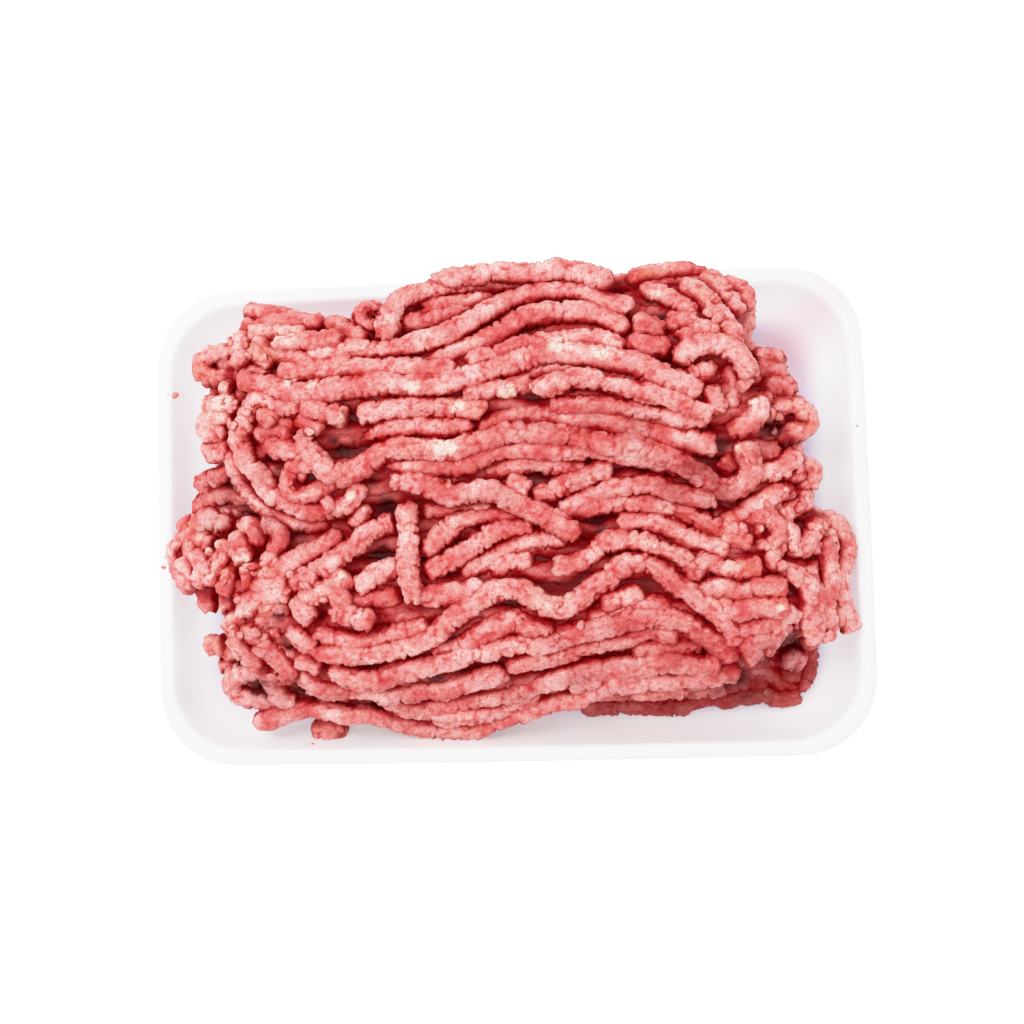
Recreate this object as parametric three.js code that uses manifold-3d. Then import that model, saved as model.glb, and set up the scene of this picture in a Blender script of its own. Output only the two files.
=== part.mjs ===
// An open foam tray packed with two hanks of minced meat, one leaning on the other.
// Millimetres, +Z up. The origin is on the underside, at the middle of the tray.
import * as THREE from 'three';
import { mergeVertices } from 'three/addons/utils/BufferGeometryUtils.js';
import Module from 'manifold-3d';

// Driving dimensions
const TRAY_LENGTH = 210;
const TRAY_DEPTH = 142.5;
const TRAY_HEIGHT = 20;
const CORNER_RADIUS = 22.7;
const BOW_LONG = 0.34; // how far the long sides bulge at their middle
const BOW_SHORT = 0.25;
const CORNER_STEPS = 8;
const STRAND_RADIUS = 3.3; // a strand is about 6 mm thick
const STRAND_SIDES = 5;
const STEP_LENGTH = 12; // along a strand, between two of its sections
const GAP = 0.35; // kept between the meat and the foam

// The tray: rings of one rounded rectangle, each set in from the outer edge and at its own height.
function trayRing(inset, z) {
  const a = TRAY_LENGTH / 2 - inset;
  const b = TRAY_DEPTH / 2 - inset;
  const r = CORNER_RADIUS - 0.45 * Math.max(inset, 0);
  const points = [];
  for (const [sx, sy, start] of [[1, 1, 0], [-1, 1, 90], [-1, -1, 180], [1, -1, 270]]) {
    for (let i = 0; i <= CORNER_STEPS; i++) {
      const t = THREE.MathUtils.degToRad(start + (90 * i) / CORNER_STEPS);
      points.push([
        sx * (a - BOW_SHORT - r) + r * Math.cos(t),
        sy * (b - BOW_LONG - r) + r * Math.sin(t),
        z,
      ]);
    }
    if (start === 0) points.push([0, b, z]);
    if (start === 90) points.push([-a, 0, z]);
    if (start === 180) points.push([0, -b, z]);
    if (start === 270) points.push([a, 0, z]);
  }
  return points;
}

// A closed body through a list of rings, closed by a flat fan at the first ring and at the last.
function ringBody(rings) {
  const n = rings[0].length;
  const position = rings.flat(2);
  const index = [];
  for (let k = 0; k + 1 < rings.length; k++) {
    for (let i = 0; i < n; i++) {
      const j = (i + 1) % n;
      const [p, q] = [k * n, (k + 1) * n];
      index.push(p + i, p + j, q + j, p + i, q + j, q + i);
    }
  }
  const middle = (ring) => [0, 1, 2].map((c) => ring.reduce((s, v) => s + v[c], 0) / n);
  const first = rings.length * n;
  position.push(...middle(rings[0]), ...middle(rings[rings.length - 1]));
  const top = (rings.length - 1) * n;
  for (let i = 0; i < n; i++) {
    const j = (i + 1) % n;
    index.push(first, j, i, first + 1, top + i, top + j);
  }
  const geometry = new THREE.BufferGeometry();
  geometry.setAttribute('position', new THREE.Float32BufferAttribute(position, 3));
  geometry.setIndex(index);
  return geometry;
}

// Under side and outer wall, the rounded lip, then the inner wall down to the floor: inset and height.
const OUTSIDE = [
  [17.5, 0], [14.8, 0.5], [10.8, 2.6], [7.2, 6.2], [4.6, 10.8], [2.9, 15.4],
  [1.7, 16.3], [0.5, 16.7], [0, 17.8], [0.4, 19.2], [1.6, 20],
];
const INSIDE = [
  [3.9, TRAY_HEIGHT], [4.5, 19.5], [5.4, 16.8], [7.4, 11.8], [10.2, 7.8], [14, 5.1], [18.5, 3.9], [24, 3.5],
];
const trayGeometry = ringBody([...OUTSIDE, ...INSIDE].map(([inset, z]) => trayRing(inset, z)));

// The skin of the heap: a height for each line across the tray, drawn down towards both ends.
const SKIN_Y = [-72, -64, -56, -44, -28, -12, 0, 14, 34, 52, 64, 72];
const SKIN_Z = [8, 11, 22, 36, 43, 42, 40, 46, 49, 45, 37, 26];
function skin(x, y) {
  let k = 0;
  while (k < SKIN_Y.length - 2 && y > SKIN_Y[k + 1]) k++;
  const t = THREE.MathUtils.clamp((y - SKIN_Y[k]) / (SKIN_Y[k + 1] - SKIN_Y[k]), 0, 1);
  const z = THREE.MathUtils.lerp(SKIN_Z[k], SKIN_Z[k + 1], t);
  return 8 + (z - 8) * Math.sqrt(Math.max(1 - (Math.abs(x) / 104) ** 5, 0));
}

// A point of the heap this far under its skin. The heap widens downwards, away from a point high above it.
const APEX = new THREE.Vector3(31, -24.5, 398);
function under(x, y, drop) {
  const p = new THREE.Vector3(x, y, skin(x, y));
  return p.add(p.clone().sub(APEX).multiplyScalar(drop / (APEX.z - p.z)));
}

// Strands: how far each lies under the skin, then its route across the heap as x, y pairs.
const REAR_HANK = [
  [-9, -18, 68.6, -5, 69.7, 8, 70, 19, 69.3, 28, 67.2, 33, 65],
  [-2, -31, 50, -30, 55, -26, 61, -18, 65, -5, 66.5, 8, 66, 20, 65, 28, 62],
  [0, -52, 45, -40, 45.5, -28, 46, -16, 48.5, -6, 54, 3, 59.5, 14, 61.5, 25, 61, 32, 57, 38, 55],
  [0, -60, 40, -50, 39.7, -40, 40.5, -30, 40, -20, 38.7, -10, 38.5],
  [0.5, -8, 40.5, 0, 42.5, 8, 45.5, 18, 46.8, 27, 46.5, 36, 43],
  [-1, -72, 39, -62, 36.5, -52, 34.5, -42, 35.3, -31, 35.7, -20, 34.8, -10, 36.5, 0, 38.5, 10, 42,
    20, 42.6, 30, 41, 40, 38.3, 48, 34.5, 56, 31],
  [0, -9, 31.5, -3, 32.5, 4, 33.5, 10, 35],
  [-0.5, 10, 32.7, 17, 34, 24, 35, 30, 34, 38, 31.5, 46, 29.7, 55, 26.5, 59, 25],
  [0.5, 15, 28, 22, 27.5, 30, 27.5, 37, 26.5, 44, 25, 50, 23.5, 57, 23],
  [0, -37, 28, -28, 29, -18, 29.3, -9, 28.5, -3, 26.5],
  [0.5, -36, 21.5, -30, 22.5, -25, 23.5, -20, 24, -15, 23, -10, 23, -6, 24],
  [1, -4.5, 22, 0, 23.5, 6, 25.5, 10, 25, 20, 24, 30, 22.5, 40, 20, 45, 18.5, 50.5, 17, 59, 15.5],
  [-1, -55, 23, -52.5, 20, -50.5, 16, -48, 13, -44, 11.5, -40, 12.5, -36, 15, -31, 17.5, -26, 18.5,
    -20, 18.3, -14, 17.2, -7, 19, 0, 21, 7, 22, 14, 21.2, 22, 20, 30, 18, 38, 17.2, 44, 15, 50, 11.5,
    56, 8, 61, 4.8, 65.5, 5.5, 68, 9, 68, 13, 67, 17],
  [1, -30, 13, -19.5, 13.4, -9.5, 12.8, -4, 14.5, 1.5, 16, 10, 16.8, 21, 15.5, 31, 14.5, 41, 13, 50, 9.5],
  [2, -30, 9.7, -19.5, 9.5, -12, 8.5, -5, 10, 4.8, 12, 11, 12.6, 18, 12, 23, 11.5],
  [0, -71, 22, -70, 16, -66.5, 10.5, -62, 5.5, -58, 3, -53, 1, -49, 0.5, -44, 2, -41, 4.5, -38.5, 9],
  [2, -75, 19, -74, 14, -72, 9.5, -68.5, 5, -65, 2, -61, 0, -56, -1.5],
  [0, -56, 8, -57, 12, -54, 14.5, -51, 13],
  [0, -59, 11, -57, 7, -53, 5.2, -48.5, 4.5, -44.5, 5.5],
];
const REAR_ENDS = [
  [1, -73, 60.5, -66, 58.5, -58, 56],
  [0.5, -70, 53, -60.5, 53.5, -50.5, 54, -41.5, 52.5],
  [0, -61.5, 49, -55, 47.5, -48, 48.5, -41, 49],
  [0, -69, 48, -61, 42],
  [0, -67, 31, -58, 31],
  [0, -53.5, 31.5, -49, 29, -41, 25],
  [2, -72, 47.5, -79, 47.5, -83, 44, -80, 40.5, -73, 40],
  [0, -79, 32.5, -71, 33.5],
  [1, -70, 26, -77, 27, -83, 26, -84.5, 22, -80, 19.5, -74, 20],
  [7, -88, 9.5, -81, 12.5, -75, 15],
  [-1, 37, 64, 45, 66.5, 52, 67, 58, 66],
  [0, 37, 59, 42, 60, 47, 60, 51.5, 57, 57, 53],
  [-1, 52, 62.5, 56.5, 60, 60, 55, 63, 50.5, 65, 46.5, 65.5, 43],
  [3, 61, 61, 66, 59.5, 70, 56.5],
  [0, 37, 48, 44, 44, 49, 42],
  [0, 47.5, 48, 54, 50, 60, 47],
  [0, 49, 38, 51.5, 42, 57, 43.5, 62, 42.5, 67, 39.5, 70, 35],
  [0, 52, 34.5, 56, 36.5, 61, 36, 64.5, 32.5, 64.5, 28.5, 61.5, 24],
  [0, 68, 34, 69.5, 28.5],
  [0, 73, 26, 70, 23.5, 65, 21.5, 60, 20.5],
  [3, 68.5, 42, 73.5, 39.5, 79.5, 37],
  [3, 71, 33.5, 81.5, 32.5],
  [4, 74, 26.5, 80.5, 27, 85, 23],
  [6, 75, 21, 83, 20.5],
  [3, 70.5, 9, 75, 8.5, 80, 7.5],
  [4, 70.5, 14.5, 78.5, 14, 79, 9.5],
  [4, 86, 10, 83.5, 6, 83.5, 2, 85, -1],
  [2, 67, 0, 71, 2.5, 78.5, 3.5],
];
const FRONT_HANK = [
  [0, -22, -11, -19, -8.5, -15, -5, -11.5, -2, -7.5, -1, -3, -0.7, 5, -1.5],
  [0, -21.5, -17, -18, -15.5, -14, -13.5, -10, -11, -5, -8, -1, -5.5, 3.5, -4.5, 8.5, -4],
  [-3, -30, 9, -24.5, 9, -19, 7.5, -13.5, 5.5, -8, 6, -2.5, 6.5, 1, 5, 4.5, 3, 9, 1, 13, -1, 17.5, -3.5, 22, -6.7],
  [1, 9, 4, 13.5, 5, 18, 7, 22.5, 8.5, 27, 9.5, 31, 10],
  [0, 16, -0.5, 20, 0.5, 24.5, 3, 29, 5, 34, 6, 38.5, 6.5, 42, 6.5, 45.5, 5.5, 50, 4, 59, 2.5],
  [0, 18, -1, 22, 0, 27, 1.5, 31.5, 2, 36, 1.5, 41, 0.8, 45, 0.3, 49, -0.7, 52.5, -3, 56, -5, 59.5, -7, 64.5, -7.5, 68, -8],
  [0, 32.5, -4, 40.5, -4.2, 45, -5.5, 49.5, -8, 54, -9.8, 58.5, -11.5, 62, -12.5],
  [0, 14.5, -15, 19, -15, 23.5, -13, 28, -9.5, 31.5, -8.5, 36.5, -9, 40.5, -10, 45, -12, 49, -14.5, 52, -18, 54, -21],
  [-1, -54.5, -37.5, -46.5, -38, -36.5, -38, -31.5, -37, -26.5, -36, -22.5, -34.5, -18.5, -32, -15, -29.5,
    -11.5, -26.5, -7, -23.5, -2.5, -21.5, 2, -21, 6, -21.8, 9, -24.3, 12, -26.5, 17, -27, 20.5, -25.5,
    24, -22.5, 28, -20, 32.5, -17, 37, -15.5, 41, -16.5, 47, -20.5, 51.5, -23.5, 54.5, -27, 58, -30,
    60, -33, 62, -36, 63, -39.5],
  [0, 61, -26, 64, -32, 67, -36, 68, -40],
  [0, -24, -22, -17, -22.5, -10, -22, -5, -19.5],
  [-3.5, -26, 3.3, -25.5, -3, -25.5, -10, -25.5, -17, -25, -24],
  [0, -69, -14, -63, -12.5, -58, -11, -52, -9, -48.5, -7, -44, -6],
  [1, -58, -8, -53.5, -5, -49.5, -3.5, -45, -2, -42, 0.5],
  [0, -56, -13, -51.5, -13, -47, -10.5, -42, -8.5, -38, -6, -34, -4, -30, -2],
  [0, -58, -17, -50, -15.5, -42, -12],
  [0, -38.5, 3.5, -40, -3],
  [0.5, -47, -21, -40, -17.5, -35, -15, -30, -13],
  [0.5, -52, -31, -48.5, -33, -44.5, -34, -41, -35, -36, -34, -31.5, -33, -26, -32, -20, -31],
  [1, -12.5, -37, -8.5, -34.5, -5.5, -32.5, -1.5, -30.5, 2, -29.5, 5.5, -29.5, 9.5, -31, 14, -31],
  [0, -50, -42, -45.5, -44, -41, -45.5, -35.5, -45, -31.5, -43.5, -26.5, -42.5, -20.5, -41, -14.5, -39.5,
    -9.5, -38, -5, -38, 0.5, -37, 5, -36, 14, -35.5, 19, -33.5, 28.5, -32, 35, -30.5, 41, -30.5, 46.5, -31,
    50.5, -32.5, 53.5, -35, 56.5, -37, 60, -40, 62, -43],
  [0, -58.5, -44, -55, -45.5, -51.5, -47.5, -42.5, -48.5, -37.5, -48.5, -33.5, -49.5, -19.5, -48.5,
    -14, -47.5, -8, -46, -3, -44.5, 0, -43],
  [1, 0, -43, 5, -41.5, 14, -39.5, 23.5, -37.5, 29, -36.5, 35, -35.5, 39.5, -34, 47.5, -35.5],
  [1, -37, -50, -33.5, -52, -29.5, -54, -24.5, -54, -18.5, -53.5, -12.5, -52, -2.5, -50.5, 6.5, -48, 16, -45, 27, -42],
  [0, -76, -57.5, -71, -57, -64.5, -55, -59.5, -54.5, -48, -55.5, -42.5, -56.5, -36.5, -58, -27.5, -60.5,
    -21.5, -61.5, -15.5, -61.5, -10.5, -61, -5.5, -59, 4, -56.5, 14, -53.5, 19, -52.5, 23, -50, 27.5, -48, 32, -46, 37, -45],
  [0, 18, -47.5, 22, -47, 26, -45, 29.5, -43.5, 35, -42.5, 40, -42.5, 45, -41.5, 50, -42.5, 59, -43],
  [0, 30.5, -48, 39, -47, 44.5, -48, 50, -47, 55.5, -46.5, 60, -46, 64.5, -45.5],
  [12, 20, -55, 30, -55, 40, -56, 50, -55.5],
  [12, 50, -54, 56, -54.5, 65, -53, 75, -53, 81, -52],
  [1, -58.5, -30, -55.5, -33, -51, -35.5],
  [-2, -57, -21, -54.5, -25, -51.5, -29],
  [-1, -51, -20, -47, -21, -44, -24],
  [-2, -47, -27, -43, -26.5, -36.5, -29],
];
const FRONT_ENDS = [
  [0, -57, -22, -62, -20.5, -67, -21.5, -71, -24, -72, -28],
  [1, -75, -28, -76, -31.5, -72, -35.5, -69, -39, -65, -42],
  [1, -68, -34, -64.5, -37.5, -60.5, -40.5],
  [2, -65, -28.5, -60, -32],
  [3, -69, -41, -66.5, -44.5, -64.5, -48, -63.5, -52],
  [9, -68.5, -42.5, -72.5, -41.8, -77, -43.5, -78.5, -47, -75.5, -50, -66, -50.5],
  [10, -84, -34, -79, -36.5, -74, -36],
  [10, -82, -40.5, -75, -39.5],
  [2, -86, -4.5, -90, -5, -93, -8, -93.5, -12.5, -91.5, -16.5, -88, -17.5],
  [0, -86, 0, -81, 0.3, -77, -1.5, -73, -5, -71, -8.5],
  [0, -73, 0.5, -68, -1, -64, -4, -65, -8.5],
  [3, -84, -18, -85.5, -22, -84, -27],
  [1, -80, -16.5, -76.5, -12, -72, -14],
  [4, -93, -1.5, -88, 3.5],
  [5, -84, 6.5, -77, 6, -71, 4],
  [6, -78, -21, -76, -25],
  [12, -58, -60.5, -49, -60],
  [1, 60, -5.5, 64, -4.5, 69, -2, 73.5, -0.5, 83, 0],
  [0, 69, -5.5, 73.5, -4.5, 76, -8],
  [2, 80, -7, 84, -3.8, 90.5, -5, 94, -8.5, 95, -12, 94.5, -15.5, 92.5, -18.5, 91.5, -22, 92.5, -27,
    93.5, -31, 96, -35],
  [2, 86.5, -6, 88, -11, 89, -16, 88, -22, 86.5, -30, 87, -37],
  [1, 79, -7, 82, -12, 84, -17],
  [1, 75.5, -10.5, 75, -15.5, 76, -19.5],
  [0, 55, -15, 61, -16, 65, -16, 70, -15.5],
  [0, 60, -22, 67, -22, 77.5, -23],
  [0, 63, -28, 67.5, -27.5, 72, -29, 77, -28.5],
  [1, 77.5, -28.5, 75.5, -32.5, 73.5, -35.5, 70.5, -38.5, 67.5, -42],
  [2, 80.5, -21, 82.5, -26, 83.5, -31, 85, -38],
  [9, 65, -43.5, 69.5, -46.5, 74, -48, 79, -48.8, 83, -47.5, 85, -43.5, 84.5, -39.5, 81.5, -36.3, 77, -35],
  [8, 76, -41.5, 82, -43],
];

const wasm = await Module();
wasm.setup();
function solid(geometry) {
  geometry.deleteAttribute('normal');
  geometry.deleteAttribute('uv');
  const merged = mergeVertices(geometry, 1e-4);
  return new wasm.Manifold(new wasm.Mesh({
    numProp: 3,
    vertProperties: new Float32Array(merged.attributes.position.array),
    triVerts: new Uint32Array(merged.index.array),
  }));
}

// One strand: a rope of few sides along its route, its middle its own radius under the skin.
const section = new THREE.Shape();
for (let i = 0; i < STRAND_SIDES; i++) {
  const t = (2 * Math.PI * i) / STRAND_SIDES;
  section[i ? 'lineTo' : 'moveTo'](STRAND_RADIUS * Math.cos(t), STRAND_RADIUS * Math.sin(t));
}
section.closePath();
function strand([drop, ...xy]) {
  const points = [];
  for (let i = 0; i < xy.length; i += 2) points.push(under(xy[i], xy[i + 1], drop + 3));
  return rope(points, STEP_LENGTH);
}
function rope(points, step) {
  const path = new THREE.CatmullRomCurve3(points, false, 'centripetal');
  const steps = Math.max(1, Math.round(path.getLength() / step));
  return solid(new THREE.ExtrudeGeometry(section, { steps, bevelEnabled: false, extrudePath: path }));
}

// The packed middle under the strands: its foot on the tray's floor, its top sunk under the skin.
const CORE_FOOT = [
  [-40, 55], [-70, 54], [-80, 44], [-80, 20], [-90, 4], [-93, -9], [-86, -20], [-76, -32], [-74, -46], [-58, -51],
  [-35, -57], [-10, -59], [15, -53], [35, -54], [60, -53.5], [80, -50], [84, -40], [91, -30], [92, -9], [83, 2],
  [82, 20], [80, 33], [69, 45], [69, 57], [58, 63], [40, 64], [15, 66], [-15, 64],
];
const CORE_MIDDLE = [2, 2];

// Strands packed along the heap's sides, below the ones seen from above: a height, then the first and
// the last corner of the core that each passes, a little outside it.
const SKIRTS = [
  [10.5, 0, 3], [17, 1, 4], [24, 0, 3], [31, 0, 3], [13, 4, 8], [20.5, 3, 7],
  [10.5, 15, 18], [17, 16, 19], [12, 18, 22], [19, 19, 23], [26, 20, 24], [24, 23, 27], [31, 24, 28], [10, 8, 9],
];
function skirt([z, first, last]) {
  const points = [];
  for (let k = first; k <= last; k++) {
    const [x, y] = CORE_FOOT[k % CORE_FOOT.length];
    const outward = 1 + 0.8 / Math.hypot(x, y);
    points.push(new THREE.Vector3(x * outward, y * outward, z));
  }
  return rope(points, 1.5 * STEP_LENGTH);
}
function coreRing(share, drop, fixed) {
  return CORE_FOOT.map(([x, y]) => {
    const px = CORE_MIDDLE[0] + (x - CORE_MIDDLE[0]) * share;
    const py = CORE_MIDDLE[1] + (y - CORE_MIDDLE[1]) * share;
    return [px, py, fixed ?? skin(px, py) - drop];
  });
}
const core = solid(ringBody([
  coreRing(1, 0, 1), coreRing(1, 7), coreRing(0.93, 5.5), coreRing(0.78, 5.5), coreRing(0.55, 5.5), coreRing(0.3, 5.5),
]));

// What the tray takes up below and around the meat, with the gap.
const hollow = solid(ringBody([
  ...[[-9, -9], [-9, TRAY_HEIGHT + GAP]],
  ...INSIDE.map(([inset, z]) => [inset + GAP, z + GAP]),
].map(([inset, z]) => trayRing(inset, z))));

let heap = core;
for (const route of [...REAR_HANK, ...REAR_ENDS, ...FRONT_HANK, ...FRONT_ENDS]) heap = heap.add(strand(route));
for (const route of SKIRTS) heap = heap.add(skirt(route));
heap = heap.subtract(hollow);


// The heap's outer skin alone: a bubble shut in between strands is a separate shell that faces inwards.
function outerShell(vertices, triangles) {
  const parent = vertices.map((_, i) => i);
  const root = (i) => {
    while (parent[i] !== i) i = parent[i] = parent[parent[i]];
    return i;
  };
  for (const [a, b, c] of triangles) {
    parent[root(a)] = root(b);
    parent[root(b)] = root(c);
  }
  const volume = new Map();
  for (const [a, b, c] of triangles) {
    const six = vertices[a].dot(vertices[b].clone().cross(vertices[c]));
    volume.set(root(a), (volume.get(root(a)) ?? 0) + six);
  }
  return triangles.filter(([a]) => volume.get(root(a)) > 0);
}

// Where strands cross they leave slivers: edges shorter than this are drawn together to one point,
// unless that would pinch the skin or turn a face over.
const SHORT_EDGE = 0.9;
function drawTogether(vertices, triangles) {
  const faces = triangles.map((t) => [...t]);
  const around = vertices.map(() => new Set());
  faces.forEach((t, i) => t.forEach((v) => around[v].add(i)));
  const ring = (v) => new Set([...around[v]].flatMap((i) => faces[i]).filter((u) => u !== v));
  const normal = (a, b, c) => b.clone().sub(a).cross(c.clone().sub(a));
  for (let again = true; again; ) {
    again = false;
    for (let i = 0; i < faces.length; i++) {
      for (let k = 0; k < 3 && faces[i]; k++) {
        const [keep, gone] = [faces[i][k], faces[i][(k + 1) % 3]];
        if (vertices[keep].distanceTo(vertices[gone]) > SHORT_EDGE) continue;
        const near = ring(keep);
        if ([...ring(gone)].filter((v) => near.has(v)).length !== 2) continue;
        const moved = [...around[gone]].filter((f) => !faces[f].includes(keep));
        const turned = moved.some((f) => {
          const before = normal(...faces[f].map((v) => vertices[v]));
          const after = normal(...faces[f].map((v) => vertices[v === gone ? keep : v]));
          return before.length() > 0.02 && before.dot(after) < 0.3 * before.length() * after.length();
        });
        if (turned) continue;
        for (const f of [...around[gone]]) {
          if (faces[f].includes(keep)) {
            faces[f].forEach((v) => around[v].delete(f));
            faces[f] = null;
          } else {
            faces[f] = faces[f].map((v) => (v === gone ? keep : v));
            around[keep].add(f);
          }
        }
        around[gone].clear();
        again = true;
      }
    }
  }
  return faces.filter(Boolean);
}

function meatGeometry({ vertProperties, triVerts }) {
  const vertices = [];
  for (let i = 0; i < vertProperties.length; i += 3) {
    vertices.push(new THREE.Vector3().fromArray(vertProperties, i));
  }
  const triangles = [];
  for (let i = 0; i < triVerts.length; i += 3) triangles.push([...triVerts.slice(i, i + 3)]);
  const index = drawTogether(vertices, outerShell(vertices, triangles)).flat();
  const geometry = new THREE.BufferGeometry().setFromPoints(vertices);
  geometry.setIndex(index);
  return geometry;
}
const mince = meatGeometry(heap.getMesh());

const foam = new THREE.MeshStandardMaterial({ color: 0xf0eef3, roughness: 0.55, metalness: 0 });
const flesh = new THREE.MeshStandardMaterial({ color: 0xe08a83, roughness: 0.4, metalness: 0 });
function part(name, geometry, material) {
  geometry.computeVertexNormals();
  const mesh = new THREE.Mesh(geometry, material);
  mesh.name = name;
  return mesh;
}
const pack = new THREE.Group();
pack.add(part('tray', trayGeometry, foam), part('mince', mince, flesh));
export default pack;
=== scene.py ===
import math

import bpy
import numpy as np
from mathutils import Matrix, Vector


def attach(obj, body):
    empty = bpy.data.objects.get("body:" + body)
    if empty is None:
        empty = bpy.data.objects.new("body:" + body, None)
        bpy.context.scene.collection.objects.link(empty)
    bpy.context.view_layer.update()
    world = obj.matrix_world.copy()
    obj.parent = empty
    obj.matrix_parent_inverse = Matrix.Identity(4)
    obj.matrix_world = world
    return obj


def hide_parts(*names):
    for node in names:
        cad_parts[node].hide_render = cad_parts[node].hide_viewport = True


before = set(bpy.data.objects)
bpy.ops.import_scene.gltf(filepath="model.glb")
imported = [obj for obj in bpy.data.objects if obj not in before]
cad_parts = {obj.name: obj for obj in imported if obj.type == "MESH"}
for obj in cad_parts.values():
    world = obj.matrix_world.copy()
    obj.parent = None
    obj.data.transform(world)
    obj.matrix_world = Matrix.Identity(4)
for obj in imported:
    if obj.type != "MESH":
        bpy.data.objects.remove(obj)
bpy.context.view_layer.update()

# Camera: almost straight over the pack, a little in front of it and to its right, and rolled a touch. It
# stands about twice the tray's length away.
eye = Vector((0.03093, -0.02453, 0.39838))
target = Vector((0.00005, 0.0027, 0))
roll = math.radians(-1.525)
back = (eye - target).normalized()
level = Vector((0, 1, 0)).cross(back).normalized()
upright = back.cross(level)
right = level * math.cos(roll) + upright * math.sin(roll)
up = back.cross(right)
camera = bpy.data.objects.new("camera", bpy.data.cameras.new("camera"))
camera.data.sensor_width = 36
camera.data.lens = 45.7
camera.data.clip_start = 0.01
camera.matrix_world = Matrix((
    (right.x, up.x, back.x, eye.x),
    (right.y, up.y, back.y, eye.y),
    (right.z, up.z, back.z, eye.z),
    (0, 0, 0, 1),
))
bpy.context.scene.collection.objects.link(camera)
bpy.context.scene.camera = camera

# Light: one large soft lamp high behind the pack and to its left, a weak one in front, and a pale room. A
# weak sun without shadows lifts the deep parts, and the tone curve rounds off the highlights.
view = bpy.context.scene.view_settings
view.view_transform = "Standard"
view.use_curve_mapping = True
BRIGHTEST = 3
view.curve_mapping.white_level = (BRIGHTEST, BRIGHTEST, BRIGHTEST)
shoulder = view.curve_mapping.curves[3]
for scene_light, shown in ((0.5, 0.5), (0.75, 0.72), (1, 0.845), (1.4, 0.935), (2, 0.975)):
    shoulder.points.new(scene_light / BRIGHTEST, shown)
view.curve_mapping.update()
world = bpy.data.worlds.new("room")
bpy.context.scene.world = world
world.use_nodes = True
world.node_tree.nodes["Background"].inputs["Color"].default_value = (1, 0.99, 1, 1)
world.node_tree.nodes["Background"].inputs["Strength"].default_value = 0.85
LAMPS = (
    # name, place, size, power
    ("key", (-0.52, 0.38, 1.0), 0.55, 7.2),
    ("front", (0.5, -0.7, 0.8), 0.9, 0.8),
)
for name, place, size, power in LAMPS:
    lamp = bpy.data.objects.new(name, bpy.data.lights.new(name, "AREA"))
    lamp.data.shape = "DISK"
    lamp.data.size = size
    lamp.data.energy = power
    lamp.location = place
    lamp.rotation_mode = "QUATERNION"
    lamp.rotation_quaternion = (-Vector(place)).to_track_quat("-Z", "Y")
    bpy.context.scene.collection.objects.link(lamp)
lift = bpy.data.objects.new("lift", bpy.data.lights.new("lift", "SUN"))
lift.data.energy = 1.1
lift.data.angle = 0.6
lift.data.use_shadow = False
lift.data.specular_factor = 0
bpy.context.scene.collection.objects.link(lift)

# Floor: a wide sheet of white paper, a fifth of a millimetre under the tray's base. It glows a little to the
# camera only, so it stays white round the pack and gives it no light of its own.
floor_mesh = bpy.data.meshes.new("floor")
floor_mesh.from_pydata([(-3, -3, 0), (3, -3, 0), (3, 3, 0), (-3, 3, 0)], [], [(0, 1, 2, 3)])
floor = bpy.data.objects.new("floor", floor_mesh)
floor.location.z = -0.0002
bpy.context.scene.collection.objects.link(floor)


def add(tree, kind, inputs, **settings):
    """A new node of a kind, with its settings, and each input given as a value or as a socket to link."""
    node = tree.nodes.new("ShaderNode" + kind)
    for name, value in settings.items():
        setattr(node, name, value)
    for name, value in inputs.items():
        if isinstance(value, bpy.types.NodeSocket):
            tree.links.new(value, node.inputs[name])
        else:
            node.inputs[name].default_value = value
    return node


paper = bpy.data.materials.new("floor_white")
paper.use_nodes = True
tree = paper.node_tree
tree.nodes.clear()
path = add(tree, "LightPath", {})
level_of = add(tree, "Math", {0: path.outputs["Is Camera Ray"], 1: 3}, operation="MULTIPLY")
glow = add(tree, "Emission", {"Strength": level_of.outputs[0]})
diffuse = add(tree, "BsdfDiffuse", {"Color": (0.9, 0.9, 0.9, 1)})
both = add(tree, "AddShader", {0: diffuse.outputs[0], 1: glow.outputs[0]})
add(tree, "OutputMaterial", {"Surface": both.outputs[0]})
paper.cycles.emission_sampling = "NONE"
floor.data.materials.append(paper)


# Tray: one piece of thermoformed white foam, its lip rounded over and its wall running into the floor in a
# wide curve. Its skin is smooth, with the faint cells of the foam under it and a few small nicks in the lip.
TRAY_LENGTH, TRAY_DEPTH = 210, 142.5
CORNER_RADIUS = 22.7
BOW_LONG, BOW_SHORT = 0.34, 0.25
CORNER_STEPS, SIDE_STEPS = 18, 30
# The wall's section, outside and inside: how far in from the outline, and how high.
OUTSIDE = (
    (17.5, 0), (14.8, 0.5), (10.8, 2.6), (7.2, 6.2), (4.6, 10.8), (2.9, 15.4), (1.7, 16.3), (0.5, 16.7),
    (0, 17.8), (0.4, 19.2), (1.6, 20),
)
INSIDE = ((3.9, 20), (4.5, 19.5), (5.4, 16.8), (7.4, 11.8), (10.2, 7.8), (14, 5.1), (18.5, 3.9), (24, 3.5))


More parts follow.
